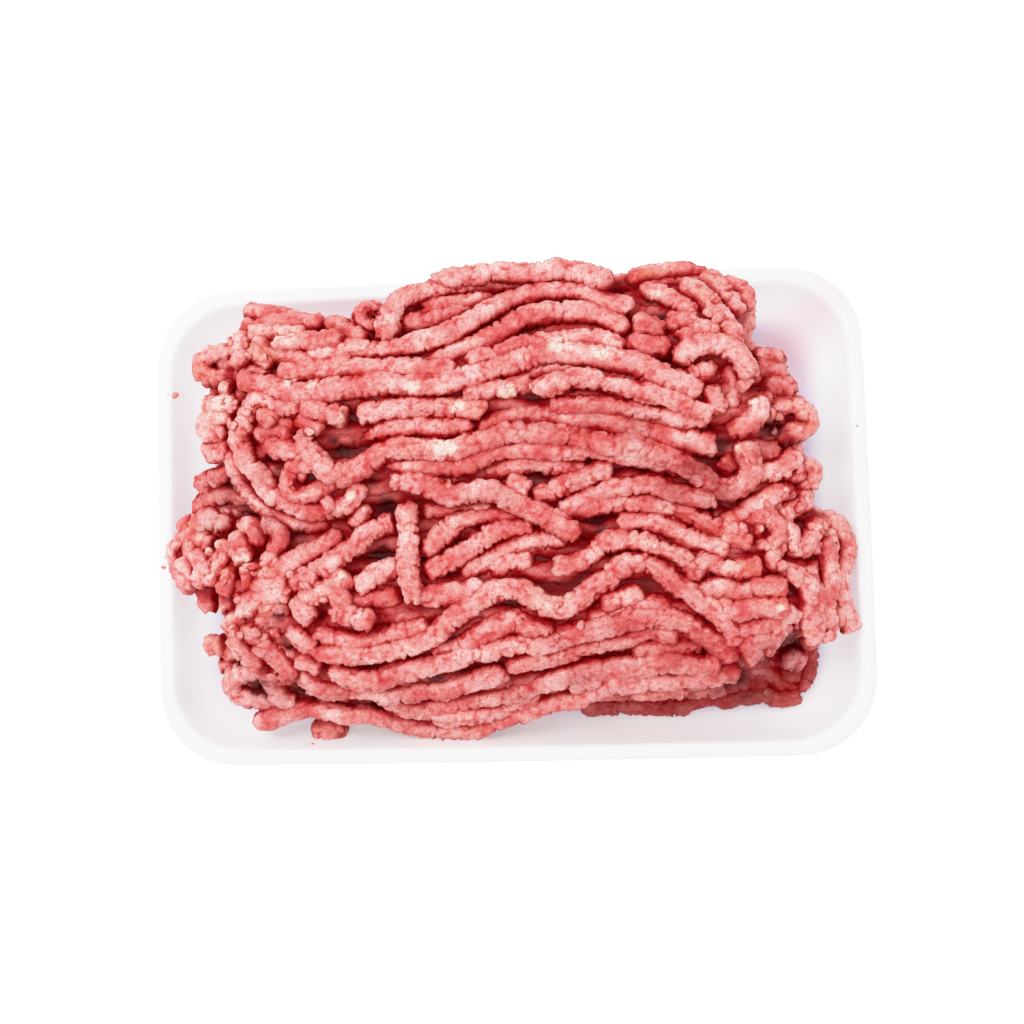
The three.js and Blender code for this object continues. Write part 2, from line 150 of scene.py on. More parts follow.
def hermite(points, step):
    """A smooth line through the points, with a place about every step along it."""
    points = np.asarray(points, float)
    t = np.r_[0, np.cumsum(np.linalg.norm(np.diff(points, axis=0), axis=1))]
    slope = np.empty_like(points)
    slope[1:-1] = (points[2:] - points[:-2]) / (t[2:] - t[:-2])[:, None]
    slope[0] = (points[1] - points[0]) / (t[1] - t[0])
    slope[-1] = (points[-1] - points[-2]) / (t[-1] - t[-2])
    s = np.linspace(0, t[-1], max(2, int(round(t[-1] / step)) + 1))
    k = np.clip(np.searchsorted(t, s, "right") - 1, 0, len(t) - 2)
    h = (t[k + 1] - t[k])[:, None]
    u = (s[:, None] - t[k][:, None]) / h
    return (
        (1 + 2 * u) * (1 - u) ** 2 * points[k] + u * (1 - u) ** 2 * h * slope[k]
        + u * u * (3 - 2 * u) * points[k + 1] + u * u * (u - 1) * h * slope[k + 1]
    )


def tray_ring(inset, z):
    """The tray's outline, drawn in by an inset, at a height. Its four sides bow out a little."""
    a, b = TRAY_LENGTH / 2 - inset - BOW_SHORT, TRAY_DEPTH / 2 - inset - BOW_LONG
    r = CORNER_RADIUS - 0.45 * max(inset, 0)
    points = []
    for sx, sy, start in ((1, 1, 0), (-1, 1, 90), (-1, -1, 180), (1, -1, 270)):
        for i in range(CORNER_STEPS + 1):
            t = math.radians(start + 90 * i / CORNER_STEPS)
            points.append((sx * (a - r) + r * math.cos(t), sy * (b - r) + r * math.sin(t), z))
        for i in range(1, SIDE_STEPS):
            f = i / SIDE_STEPS
            bow = 4 * f * (1 - f)
            along = 1 - 2 * f
            if start in (0, 180):
                points.append((sx * along * (a - r), sy * (b + BOW_LONG * bow), z))
            else:
                points.append((sx * (a + BOW_SHORT * bow), sy * along * (b - r), z))
    return points


def give(mesh, name, values):
    """Stores one value for each point of a mesh, for its material to read."""
    mesh.attributes.new(name, "FLOAT", "POINT").data.foreach_set("value", values.astype(np.float32))


profile = np.vstack([
    [OUTSIDE[0]],
    hermite(OUTSIDE[:6], 1.2)[1:],
    hermite(OUTSIDE[5:] + INSIDE[:1], 0.45)[1:],
    hermite(INSIDE[1:], 1.2),
])
rings = [tray_ring(inset, z) for inset, z in profile]
base_edge, floor_edge = rings[0], rings[-1]
rings += [[(x * share, y * share, INSIDE[-1][1]) for x, y, z in floor_edge] for share in (0.8, 0.6, 0.4, 0.2)]
rings = [[(x * share, y * share, 0) for x, y, z in base_edge] for share in (0.3, 0.65)] + rings
n = len(base_edge)
tray_points = np.array(rings).reshape(-1, 3)
faces = []
for k in range(len(rings) - 1):
    for i in range(n):
        j = (i + 1) % n
        faces.append((k * n + i, k * n + j, (k + 1) * n + j, (k + 1) * n + i))
faces.append(tuple(range(n - 1, -1, -1)))
faces.append(tuple(range((len(rings) - 1) * n, len(rings) * n)))
NICKS = (
    # x, y, z, how wide, how deep
    (104.6, 46.5, 19.4, 2.2, 0.9), (103.2, 26.5, 20, 1.2, 0.35), (-104.8, 14.5, 18.8, 1.2, 0.5),
    (60, -70.8, 19.5, 1.6, 0.3), (-40, 71, 19.6, 1.5, 0.3),
)
for x, y, z, reach, depth in NICKS:
    away = np.linalg.norm(tray_points - (x, y, z), axis=1)
    inward = -np.array((x, y, 0)) / math.hypot(x, y) * 0.8 - np.array((0, 0, 0.6))
    tray_points += np.exp(-((away / reach) ** 2))[:, None] * inward * depth
tray_mesh = bpy.data.meshes.new("foam_tray")
tray_mesh.from_pydata((tray_points / 1000).tolist(), [], faces)
tray_mesh.shade_smooth()
# Where the wall stands, which is painted a little paler than the floor as if better lit, and where a painted
# glow stands in for the room's light coming through it: at the left, the back and the right.
NO_WALL = 60.0
inset_of = np.concatenate([np.full(2 * n, NO_WALL), np.repeat(profile[:, 0], n), np.full(4 * n, NO_WALL)])
wall = np.interp(inset_of, (2, 5, 10, 16), (0.5, 1, 1, 0)) * (tray_points[:, 2] > 3)
give(tray_mesh, "wall", wall)
give(tray_mesh, "painted_wall_glow", wall * np.clip((tray_points[:, 1] + 52) / 16, 0, 1))
foam_tray = bpy.data.objects.new("foam_tray", tray_mesh)
bpy.context.scene.collection.objects.link(foam_tray)
foam = bpy.data.materials.new("foam")
foam.use_nodes = True
tree = foam.node_tree
coords = add(tree, "TexCoord", {})
where = {"Vector": coords.outputs["Object"]}
cells = add(tree, "TexVoronoi", {**where, "Scale": 750})
soft = add(tree, "TexNoise", {**where, "Scale": 60, "Detail": 1})
colour = add(tree, "Mix", {
    "Factor": soft.outputs["Fac"], "A": (0.65, 0.635, 0.77, 1), "B": (0.67, 0.655, 0.79, 1),
}, data_type="RGBA").outputs["Result"]
# Painted light on the foam: the wall's paler tone; the juice tint also paints the heap's shadow and the
# meat's pink bounce light.
for name, tone in (("wall", (0.96, 0.985, 1, 1)), ("juice_and_shade", (0.72, 0.42, 0.43, 1))):
    share = add(tree, "Attribute", {}, attribute_name=name).outputs["Fac"]
    colour = add(tree, "Mix", {"Factor": share, "A": colour, "B": tone}, data_type="RGBA").outputs["Result"]
# A painted glow in the wall, standing in for light coming through the foam.
painted_glow_share = add(tree, "Attribute", {}, attribute_name="painted_wall_glow").outputs["Fac"]
glow = add(tree, "Math", {0: painted_glow_share, 1: 0.2}, operation="MULTIPLY")
height = add(tree, "Math", {
    0: cells.outputs["Distance"], 1: 0.35, 2: soft.outputs["Fac"],
}, operation="MULTIPLY_ADD")
bump = add(tree, "Bump", {"Strength": 0.12, "Distance": 0.0003, "Height": height.outputs[0]})
shader = tree.nodes["Principled BSDF"]
for name, value in (
    ("Roughness", 0.5), ("Specular IOR Level", 0.35), ("Subsurface Weight", 0.85),
    ("Subsurface Radius", (1, 0.97, 1)), ("Subsurface Scale", 0.006), ("Emission Color", (0.62, 0.86, 1, 1)),
):
    shader.inputs[name].default_value = value
tree.links.new(colour, shader.inputs["Base Color"])
tree.links.new(glow.outputs[0], shader.inputs["Emission Strength"])
tree.links.new(bump.outputs["Normal"], shader.inputs["Normal"])
foam.cycles.emission_sampling = "NONE"
tray_mesh.materials.append(foam)
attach(foam_tray, "root")
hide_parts("tray")


# Meat: raw mince, moist, each strand built of small grains of lean and of paler fat, redder where it is torn.
# Painted shade makes it redder and darker where it lies deep, in its creases and between the strands, and
# painted highlights make the tops of its grains paler. The meshes carry where the fat, the pits and the
# deep-lying strands are, and the painted shade.
meat = bpy.data.materials.new("mince")
meat.use_nodes = True
tree = meat.node_tree
coords = add(tree, "TexCoord", {})
where = {"Vector": coords.outputs["Object"]}


def mix(a, b, factor, kind="MIX"):
    inputs = {"A": a, "B": b, "Factor": factor}
    return add(tree, "Mix", inputs, data_type="RGBA", blend_type=kind).outputs["Result"]


def attribute(name):
    return add(tree, "Attribute", {}, attribute_name=name).outputs["Fac"]


def noise(scale, detail, low, high):
    source = add(tree, "TexNoise", {**where, "Scale": scale, "Detail": detail}).outputs["Fac"]
    return add(tree, "MapRange", {"From Min": low, "From Max": high, "Value": source}).outputs["Result"]


colour = mix((0.6, 0.09, 0.086, 1), (0.695, 0.155, 0.145, 1), noise(420, 2, 0.335, 0.665))
colour = mix(colour, (0.91, 0.44, 0.415, 1), attribute("fat_and_sheen"))
colour = mix(colour, (0.95, 0.72, 0.62, 1), attribute("lard"))
colour = mix(colour, (0.74, 0.19, 0.115, 1), noise(90, 1, 0.7, 0.93))
colour = mix(colour, (0.72, 0.2, 0.1, 1), attribute("orange"))
colour = mix(colour, (0.92, 0.76, 0.76, 1), noise(1000, 1, 0.5, 0.645), "MULTIPLY")
# Pale speckle: flecks of fat, and painted glints of wet highlights.
colour = mix(colour, (1.12, 1.4, 1.4, 1), noise(2300, 1, 0.524, 0.668), "MULTIPLY")
colour = mix(colour, (0.74, 0.42, 0.42, 1), noise(1700, 1, 0.572, 0.74), "MULTIPLY")
colour = mix(colour, (0.56, 0.03, 0.034, 1), attribute("pit_and_crease_shade"))
colour = mix(colour, (0.55, 0.012, 0.012, 1), attribute("raw"))
# Painted shade (near): redder and darker where neighbouring strands keep light off.
colour = mix(colour, (0.88, 0.47, 0.45, 1), attribute("near"), "MULTIPLY")
colour = mix(colour, (0.6, 0.36, 0.36, 1), attribute("shade"), "MULTIPLY")
# Painted shade marks (dim): strands that lie in the shade of those above them.
colour = mix(colour, (0.4, 0.16, 0.18, 1), attribute("dim"), "MULTIPLY")
# Painted shade: deep crimson where the meat is shut in by its neighbours.
colour = mix(colour, (0.29, 0.002, 0.005, 1), attribute("painted_crevice_shade"))
# Painted shadow: nearly black in the open gaps between the strands.
colour = mix(colour, (0.1, 0.002, 0.003, 1), attribute("gap"))
rough = add(tree, "MapRange", {"To Min": 0.32, "To Max": 0.55, "Value": noise(500, 1, 0.32, 0.68)})
grain = add(tree, "TexNoise", {**where, "Scale": 1900, "Detail": 2})
bump = add(tree, "Bump", {"Strength": 0.55, "Distance": 0.0004, "Height": grain.outputs["Fac"]})
shader = tree.nodes["Principled BSDF"]
for name, value in (
    ("Specular IOR Level", 0.2), ("Subsurface Weight", 0.35), ("Subsurface Radius", (1, 0.3, 0.2)),
    ("Subsurface Scale", 0.0012),
):
    shader.inputs[name].default_value = value
tree.links.new(colour, shader.inputs["Base Color"])
tree.links.new(rough.outputs["Result"], shader.inputs["Roughness"])
tree.links.new(bump.outputs["Normal"], shader.inputs["Normal"])

# How the strands lie: a skin over the heap, lines that fan out below it, and the tray that they rest on.
# Each strand is pressed through a round hole of the mincer's plate, so it has one thickness, cracks across it
# where it broke over the edge, and a rough side where it was dragged.
SKIN_Y = (-72, -64, -56, -44, -28, -12, 0, 14, 34, 52, 64, 72)
SKIN_Z = (8, 11, 22, 36, 43, 42, 40, 46, 49, 45, 37, 26)
APEX = np.array((31, -24.5, 398))
STRAND_RADIUS = 3.35


def skin(x, y):
    """The height of the heap's skin over a place."""
    return 8 + (np.interp(y, SKIN_Y, SKIN_Z) - 8) * np.sqrt(np.clip(1 - (np.abs(x) / 104) ** 5, 0, 1))


def tray_top(x, y):
    """The height of the tray's inner side, or of its lip, at a place."""
    a, b, r = TRAY_LENGTH / 2, TRAY_DEPTH / 2, CORNER_RADIUS
    qx, qy = np.abs(x) - (a - r), np.abs(y) - (b - r)
    inset = r - np.hypot(np.maximum(qx, 0), np.maximum(qy, 0)) - np.minimum(np.maximum(qx, qy), 0)
    return np.interp(inset, [p[0] for p in INSIDE], [p[1] for p in INSIDE])


def cell_random(i, j, k, salt):
    """A number from 0 to 1 that belongs to a cell of space."""
    h = (i * 73856093) ^ (j * 19349663) ^ (k * 83492791) ^ (salt * 97531 + 12345)
    h = h.astype(np.uint32)
    h = (h ^ (h >> np.uint32(16))) * np.uint32(0x7FEB352D)
    h = (h ^ (h >> np.uint32(15))) * np.uint32(0x846CA68B)
    return (h ^ (h >> np.uint32(16))) / 4294967296.0


def lumps(p, salt):
    """Smooth noise from 0 to 1 with one lump to a unit."""
    cell = np.floor(p).astype(np.int64)
    f = p - cell
    f = f * f * (3 - 2 * f)
    total = 0
    for i in (0, 1):
        for j in (0, 1):
            for k in (0, 1):
                weight = f[:, 0] if i else 1 - f[:, 0]
                weight = weight * (f[:, 1] if j else 1 - f[:, 1])
                weight = weight * (f[:, 2] if k else 1 - f[:, 2])
                total = total + weight * cell_random(cell[:, 0] + i, cell[:, 1] + j, cell[:, 2] + k, salt)
    return total


def grains(p, salt):
    """For each place: how far the nearest grain's middle is, and that grain's own number."""
    cell = np.floor(p).astype(np.int64)
    first = np.full(len(p), 9.0)
    own = np.zeros(len(p))
    for i in (-1, 0, 1):
        for j in (-1, 0, 1):
            for k in (-1, 0, 1):
                c = cell + (i, j, k)
                d = 0
                for axis in range(3):
                    middle = c[:, axis] + cell_random(c[:, 0], c[:, 1], c[:, 2], salt + axis)
                    d = d + (p[:, axis] - middle) ** 2
                d = np.sqrt(d)
                nearer = d < first
                own = np.where(nearer, cell_random(c[:, 0], c[:, 1], c[:, 2], salt + 7), own)
                first = np.where(nearer, d, first)
    return first, own


END_SHAPES = {
    # how long the end is, how thin it gets, how blunt it is, how far it is pulled out raggedly
    "round": (2.4, 0.3, 2.2, 0.8),
    "cut": (1.1, 0.6, 2.6, 1.4),
    "torn": (5, 0.5, 1.2, 2.6),
}
SHORT_STRAND = 14
FULL_TURN, FAR_OFF = 6.28, 99
CRACK_GAP, CRACK_WIDTH, CRACK_DEPTH = (1.6, 4), (0.22, 0.42), (0.12, 0.75)
BLOCK_STEP, THICKEST = 0.32, 1.25


def side_faces(rows, columns):
    """The faces between rows of points that each close to a ring, and the two end caps."""
    index = np.arange(rows * columns).reshape(rows, columns)
    a, b = index[:-1], index[1:]
    quads = np.stack([a, b, np.roll(b, -1, 1), np.roll(a, -1, 1)], -1).reshape(-1, 4)
    return quads, [index[0].tolist(), index[-1][::-1].tolist()]


def sweep(line, radius, rng, around, ends):
    """A strand round a line: its points, their faces and end caps, and each point's crack and shagginess."""
    step = np.linalg.norm(np.diff(line, axis=0), axis=1)
    s = np.r_[0, np.cumsum(step)]
    tangent = np.gradient(line, axis=0)
    tangent /= np.linalg.norm(tangent, axis=1)[:, None]
    side = np.cross(tangent, (0, 0, 1.0))
    side /= np.linalg.norm(side, axis=1)[:, None] + 1e-9
    top = np.cross(side, tangent)
    turn = np.linspace(-math.pi, math.pi, around, endpoint=False)
    angle = math.pi / 2 + turn - 0.45 * np.sin(turn)
    grid_s = np.broadcast_to(s[:, None], (len(s), around))
    taper = np.ones((len(s), around))
    pull = np.zeros((len(s), around))
    short = min(1, s[-1] / SHORT_STRAND)
    for end, kind, sign in ((s, ends[0], -1), (s[-1] - s, ends[1], 1)):
        reach, least, power, rags = END_SHAPES[kind]
        reach = min(reach, 0.17 * s[-1])
        u = np.clip(1 - end / reach, 0, 1)
        shape = np.sqrt(np.clip(1 - u ** power, 0, 1)) if kind != "torn" else 1 - 0.5 * u ** power
        taper *= np.maximum(shape, least)[:, None]
        phase = rng.uniform(0, FAR_OFF)
        ragged = lumps(np.c_[np.cos(angle) * 1.3, np.sin(angle) * 1.3, 0 * angle] + phase, 8) - 0.4
        pull += sign * np.exp(-end / 2.2)[:, None] * ragged[None] * rags * short
    swell = lumps(np.c_[s / 7, 0 * s, 0 * s] + rng.uniform(0, FAR_OFF), 5) - 0.5
    thick = radius * (1 + 0.2 * swell)[:, None] * taper
    thick = thick * (1 - 0.08 * np.abs(np.sin(angle + rng.uniform(0, 6))))[None]
    crack = np.zeros((len(s), around))
    place = rng.uniform(0.5, 3)
    while place < s[-1] - 0.5:
        lean, facing, wide = rng.uniform(-0.8, 0.8), rng.uniform(0, FULL_TURN), rng.uniform(*CRACK_WIDTH)
        around_it = place + lean * np.cos(angle - facing) + 0.35 * np.sin(3 * angle + facing)
        depth = rng.uniform(*CRACK_DEPTH) * np.clip(0.45 + np.cos(angle - rng.uniform(0, FULL_TURN)), 0, 1)
        depth = depth * (0.6 + 0.9 * np.abs(np.cos(angle)) ** 2)
        crack = np.maximum(crack, depth[None] * np.exp(-(((grid_s - around_it[None]) / wide) ** 2)))
        step_up = rng.uniform(-BLOCK_STEP, BLOCK_STEP) * np.cos(angle - rng.uniform(0, FULL_TURN))
        thick = thick + step_up[None] * (grid_s > around_it[None])
        place += rng.uniform(*CRACK_GAP)
    thick = np.clip(thick, 0.1, radius * THICKEST)
    spoke = side[:, None] * np.cos(angle)[None, :, None] + top[:, None] * np.sin(angle)[None, :, None]
    points = line[:, None] + spoke * thick[..., None] + tangent[:, None] * pull[..., None]
    shag = 0.55 + 0.95 * np.abs(np.cos(angle + rng.normal(0, 0.25))) ** 1.5
    shag = np.broadcast_to(shag[None], crack.shape)
    quads, caps = side_faces(len(s), around)
    return points.reshape(-1, 3), quads, caps, crack.reshape(-1), shag.reshape(-1)


pieces = []
middles = []
GRAIN, FINE_GRAIN = 2.1, 0.95
CRACK_CUT, SPIKE = 1.25, 1.1


def point_normals(points, quads):
    """The direction in which a mesh faces at each of its points."""
    across = np.cross(points[quads[:, 2]] - points[quads[:, 0]], points[quads[:, 3]] - points[quads[:, 1]])
    normal = np.zeros_like(points)
    for corner in range(4):
        for axis in range(3):
            normal[:, axis] += np.bincount(quads[:, corner], across[:, axis], len(points))
    return normal / (np.linalg.norm(normal, axis=1)[:, None] + 1e-12)


def grained(name, points, quads, caps, crack, shag, seed):
    """Gives a smooth mesh its grains of meat and its cracks, and marks the fat and the red pits in it, with
    painted highlights on the grains' tops and painted shade in their creases and cracks.
    """
    normal = point_normals(points, quads)
    bend = np.c_[lumps(points / 1.7, 61), lumps(points / 1.7, 62), lumps(points / 1.7, 63)]
    bent = points + 0.5 * (bend - 0.5)
    near, own = grains(bent / GRAIN, seed)
    fine_near, fine_own = grains(bent / FINE_GRAIN, seed + 50)
    grain = np.sqrt(np.clip(1 - (near / 0.92) ** 2, 0, 1))
    fine = np.sqrt(np.clip(1 - (fine_near / 0.92) ** 2, 0, 1))
    raised = (
        shag * (0.85 * (grain - 0.8) + 0.45 * (fine - 0.8)) - CRACK_CUT * crack
        + 0.85 * (lumps(points / 4.5, seed + 3) - 0.5) + 0.3 * (lumps(points / 1.3, seed + 4) - 0.5)
        + SPIKE * shag * np.clip(lumps(points / 0.9, seed + 5) - 0.68, 0, 1)
    )
    points = points + normal * raised[:, None]
    points[:, 2] = np.maximum(points[:, 2], tray_top(points[:, 0], points[:, 1]) + 0.1)
    # Painted light: the grains' tops are kept paler (sheen) and their creases and the cracks darker red
    # (shade).
    valley = np.clip((0.84 - grain) / 0.5, 0, 1) + 0.6 * np.clip((0.84 - fine) / 0.5, 0, 1)
    patches = lumps(points / 6.5, seed + 20)
    small = lumps(points / 1.2, seed + 21)
    streaks = lumps(points / 2.6, seed + 22)
    fat_and_sheen = 0.16 * own + 0.16 * fine_own + 0.4 * small + 0.45 * streaks + 1.25 * (patches - 0.5) - 0.34 * valley
    fat_and_sheen = np.clip((fat_and_sheen - 0.12) / 0.9, 0, 1)
    pit_and_crease_shade = np.clip(0.75 * (valley - 0.35) + 1.25 * crack, 0, 1)
    # Less pale fat low down: darker towards the tray.
    fat_and_sheen *= 1 - 0.6 * np.clip((14 - points[:, 2]) / 8, 0, 1)
    pieces.append((name, points, normal, quads, caps, fat_and_sheen, pit_and_crease_shade))


WANDER = (0.9, 0.9, 1.1)


def strand_piece(name, strands, seed, spacing=0.52, around=34):
    """One mesh of many strands. Each strand is (radius, ends, line as points)."""
    rng = np.random.default_rng(seed)
    points, quads, caps, cracks, shags = [], [], [], [], []
    count = 0
    for radius, ends, line in strands:
        line = hermite(line, spacing)
        along = np.arange(len(line)) * spacing / 6
        along = np.c_[along, 0 * along, 0 * along]
        wander = [lumps(along + rng.uniform(0, FAR_OFF), 3) - 0.5 for _ in range(3)]
        line = line + np.transpose(wander) * WANDER
        line[:, 2] = np.maximum(line[:, 2], tray_top(line[:, 0], line[:, 1]) + radius * 0.9)
        line[:, 2] = np.convolve(np.pad(line[:, 2], 4, "edge"), np.ones(9) / 9, "valid")
        middles.append(line)
        p, q, c, crack, shag = sweep(line, radius, rng, around, ends)
        points.append(p)
        quads.append(q + count)
        caps += [[v + count for v in cap] for cap in c]
        cracks.append(crack)
        shags.append(shag)
        count += len(p)
    crack, shag = np.concatenate(cracks), np.concatenate(shags)
    grained(name, np.vstack(points), np.vstack(quads), caps, crack, shag, seed)


STRAND_MIDDLE = 3
END_KINDS, END_SHARES = ("round", "cut", "torn"), (0.45, 0.35, 0.2)


def laid(routes, seed):
    """Strands from routes of (drop, x, y, x, y ...) across the heap's skin."""
    rng = np.random.default_rng(seed)
    strands = []
    for drop, *numbers in routes:
        xy = hermite(np.array(numbers, float).reshape(-1, 2), 2.5)
        drop = drop + rng.uniform(-0.5, 0.5)
        z = skin(xy[:, 0], xy[:, 1])
        p = np.c_[xy, z]
        p = p + (p - APEX) * ((drop + STRAND_MIDDLE) / (APEX[2] - z))[:, None]
        if len(p) > 5:
            p[:, 2] = np.convolve(np.pad(p[:, 2], 2, "edge"), np.ones(5) / 5, "valid")
        ends = [str(kind) for kind in rng.choice(END_KINDS, 2, p=END_SHARES)]
        strands.append((STRAND_RADIUS * rng.uniform(0.94, 1.06), ends, p))
    return strands


# Rear hank: long strands that lie side by side across the back of the tray, the front ones looped back at
# the left. They leave the mincer as one rope and are laid down together.
REAR_HANK = (
    [-9, -18, 68.6, -5, 69.7, 8, 70, 19, 69.3, 28, 67.2, 33, 65],
    [-2, -31, 50, -30, 55, -26, 61, -18, 65, -5, 66.5, 8, 66, 20, 65, 28, 62],
    [0, -52, 45, -40, 45.5, -28, 46, -16, 48.5, -6, 54, 3, 59.5, 14, 61.5, 25, 61, 32, 57, 38, 55],
    [0, -60, 40, -50, 39.7, -40, 40.5, -30, 40, -20, 38.7, -10, 38.5],
    [0.5, -8, 40.5, 0, 42.5, 8, 45.5, 18, 46.8, 27, 46.5, 36, 43],
    [-1, -72, 39, -62, 36.5, -52, 34.5, -42, 35.3, -31, 35.7, -20, 34.8, -10, 36.5, 0, 38.5, 10, 42,
     20, 42.6, 30, 41, 40, 38.3, 48, 34.5, 56, 31],
    [0, -9, 31.5, -3, 32.5, 4, 33.5, 10, 35],
    [-0.5, 10, 32.7, 17, 34, 24, 35, 30, 34, 38, 31.5, 46, 29.7, 55, 26.5, 59, 25],
    [0.5, 15, 28, 22, 27.5, 30, 27.5, 37, 26.5, 44, 25, 50, 23.5, 57, 23],
    [0, -37, 28, -28, 29, -18, 29.3, -9, 28.5, -3, 26.5],
    [0.5, -36, 21.5, -30, 22.5, -25, 23.5, -20, 24, -15, 23, -10, 23, -6, 24],
    [1, -4.5, 22, 0, 23.5, 6, 25.5, 10, 25, 20, 24, 30, 22.5, 40, 20, 45, 18.5, 50.5, 17, 59, 15.5],
    [-1, -55, 23, -52.5, 20, -50.5, 16, -48, 13, -44, 11.5, -40, 12.5, -36, 15, -31, 17.5, -26, 18.5,
     -20, 18.3, -14, 17.2, -7, 19, 0, 21, 7, 22, 14, 21.2, 22, 20, 30, 18, 38, 17.2, 44, 15, 50, 11.5,
     56, 8, 61, 4.8, 65.5, 5.5, 68, 9, 68, 13, 67, 17],
    [1, -30, 13, -19.5, 13.4, -9.5, 12.8, -4, 14.5, 1.5, 16, 10, 16.8, 21, 15.5, 31, 14.5, 41, 13, 50, 9.5],
    [2, -30, 9.7, -19.5, 9.5, -12, 8.5, -5, 10, 4.8, 12, 11, 12.6, 18, 12, 23, 11.5],
    [0, -70.5, 22, -70.5, 17, -66.5, 11.5, -61.5, 6, -56, 2.8, -50, 1.5, -44, 3.2, -40.5, 6, -38.5, 9.5],
    [2, -74, 20, -73, 13, -70, 7.5, -65.5, 3.2, -59.5, 0, -53, -1.5, -47, -1],
    [1.5, -20, 41, -8, 44.5, 2, 49, 12, 54.5, 22, 54, 30, 52, 36, 46.5],
    [2, 8, 36, 17, 37.5, 26, 37, 35, 35.5, 42, 34],
    [3, -20, 57.5, -11, 57.5, 0, 58.5],
    [6, -28, 58, -18, 60.5, -8, 62],
    [3, -26, 53, -18, 53, -7, 56.5],
    [-0.5, 2, 8, 5.5, 7, 8, 5.5],
    [1.5, -22, 1, -11, 1.5, -1, 1],
)
strands = laid(REAR_HANK, 1)
strand_piece("rear_strands", strands[:11], 1)
strand_piece("rear_front_strands", strands[11:], 11)

# Ends of the rear hank: the short loops and broken ends that turn down at the left and at the right. They
# are the same meat as the rope, torn from it by hand, and cling to it by their own moisture.
REAR_ENDS = (
    [0, -72, 60.5, -67, 58.5, -61.5, 58, -57.5, 56.5],
    [0.5, -72, 56, -68.5, 54.5, -64, 55, -58, 55.5, -52, 54, -47.5, 53.5],
    [0.5, -69.5, 52, -65, 52, -59, 52, -53, 51.5],
    [-1, -62.5, 48.5, -57.5, 48.5, -51.5, 49, -46, 49.5, -42, 50],
    [1, -47, 54, -42.5, 52.5, -39, 49.5, -35, 50],
    [-1, -28.5, 57, -29.5, 52.5, -31.5, 48.5],
    [0, -64, 47.5, -59, 45, -54.5, 43.5, -48.5, 41.5, -43.5, 42.5, -39.5, 43.5],
    [1, -72, 53.5, -72, 49.5, -71.5, 45.5, -69, 42.5],
    [0, -69.5, 49.5, -65.5, 46, -62, 42.5],
    [3, -74, 46.5, -78, 47.5, -82, 47, -84.5, 44.5, -83.5, 41.5, -79, 40, -73, 40],
    [5, -78, 44, -72, 43.5],
    [1, -70.5, 40, -66.5, 40.5, -62.5, 39.5],
    [2, -72, 32, -77.5, 32.5, -82.5, 33],
    [3.5, -77.5, 37, -73, 36],
    [0, -65.5, 28, -61.5, 29.5, -62, 32, -66.5, 33, -69.5, 30.5, -71, 26.5, -72.5, 23, -72.5, 19],
    [2, -74, 28.5, -79, 29, -83, 27, -81, 25, -76, 24],
    [3, -74, 20, -79, 20, -83.5, 19.5],
    [-0.5, -53.5, 31.5, -49, 29.5, -45, 28, -41.5, 27],
    [1, -55, 27.5, -51.5, 25.5, -47.5, 23.5],
    [2, -66, 25, -60, 27, -55, 26],
    [2.5, -67, 22.5, -62, 24, -56, 22.5],
    [1, -65.5, 21, -61, 19.5, -56, 18, -53.5, 15.5],
    [-1, 37, 64, 45, 66.5, 52, 67, 58, 66],
    [0, 40.5, 59, 44.5, 60, 48.5, 58, 52, 55.5, 56, 52.5],
    [-1, 51.5, 61, 55.5, 59.5, 59, 55.5, 62, 51, 64, 47, 65, 43],
    [1, 57, 65, 61, 62.5, 64, 58],
    [1, 47.5, 48, 51, 50, 55.5, 49.5],
    [0, 50.5, 44.5, 54.5, 47, 58.5, 47.5, 61, 45.5],
    [1, 38, 49, 42.5, 49, 46, 46.5],
    [0, 37, 46.5, 40.5, 43.5, 44.5, 42.5, 48.5, 43.5],
    [-1, 50, 37.5, 51.5, 40.5, 55.5, 42.5, 60.5, 43, 65, 41, 68, 37.5, 69, 34],
    [1, 51.5, 34, 55, 35.5, 59.5, 35.5],
    [3, 61.5, 36.5, 64, 33.5, 64, 29.5, 62.5, 25],
    [0, 70, 29, 71, 25, 68, 21.5, 63, 19.5],
    [0.5, 66, 34, 68.5, 31.5],
    [7, 70, 40.5, 74.5, 39, 79, 38],
    [6, 70, 36.5, 75.5, 35.5, 79, 35],
    [6, 72, 32, 77, 32, 81.5, 31.5],
    [6, 73, 27, 76, 26, 79.5, 27, 83, 25, 85, 21.5, 82, 19.5, 78, 18.5, 76, 16.5],
    [3, 60.5, 13, 64.5, 9.5],
    [1, 80, 14.5, 79.5, 11.5, 76.5, 9, 72, 8.5, 70.5, 6.5],
    [4, 70, 13, 74.5, 13.5],
    [2, 72, 5, 77.5, 4.5],
)
strand_piece("rear_ends", laid(REAR_ENDS, 2), 2)

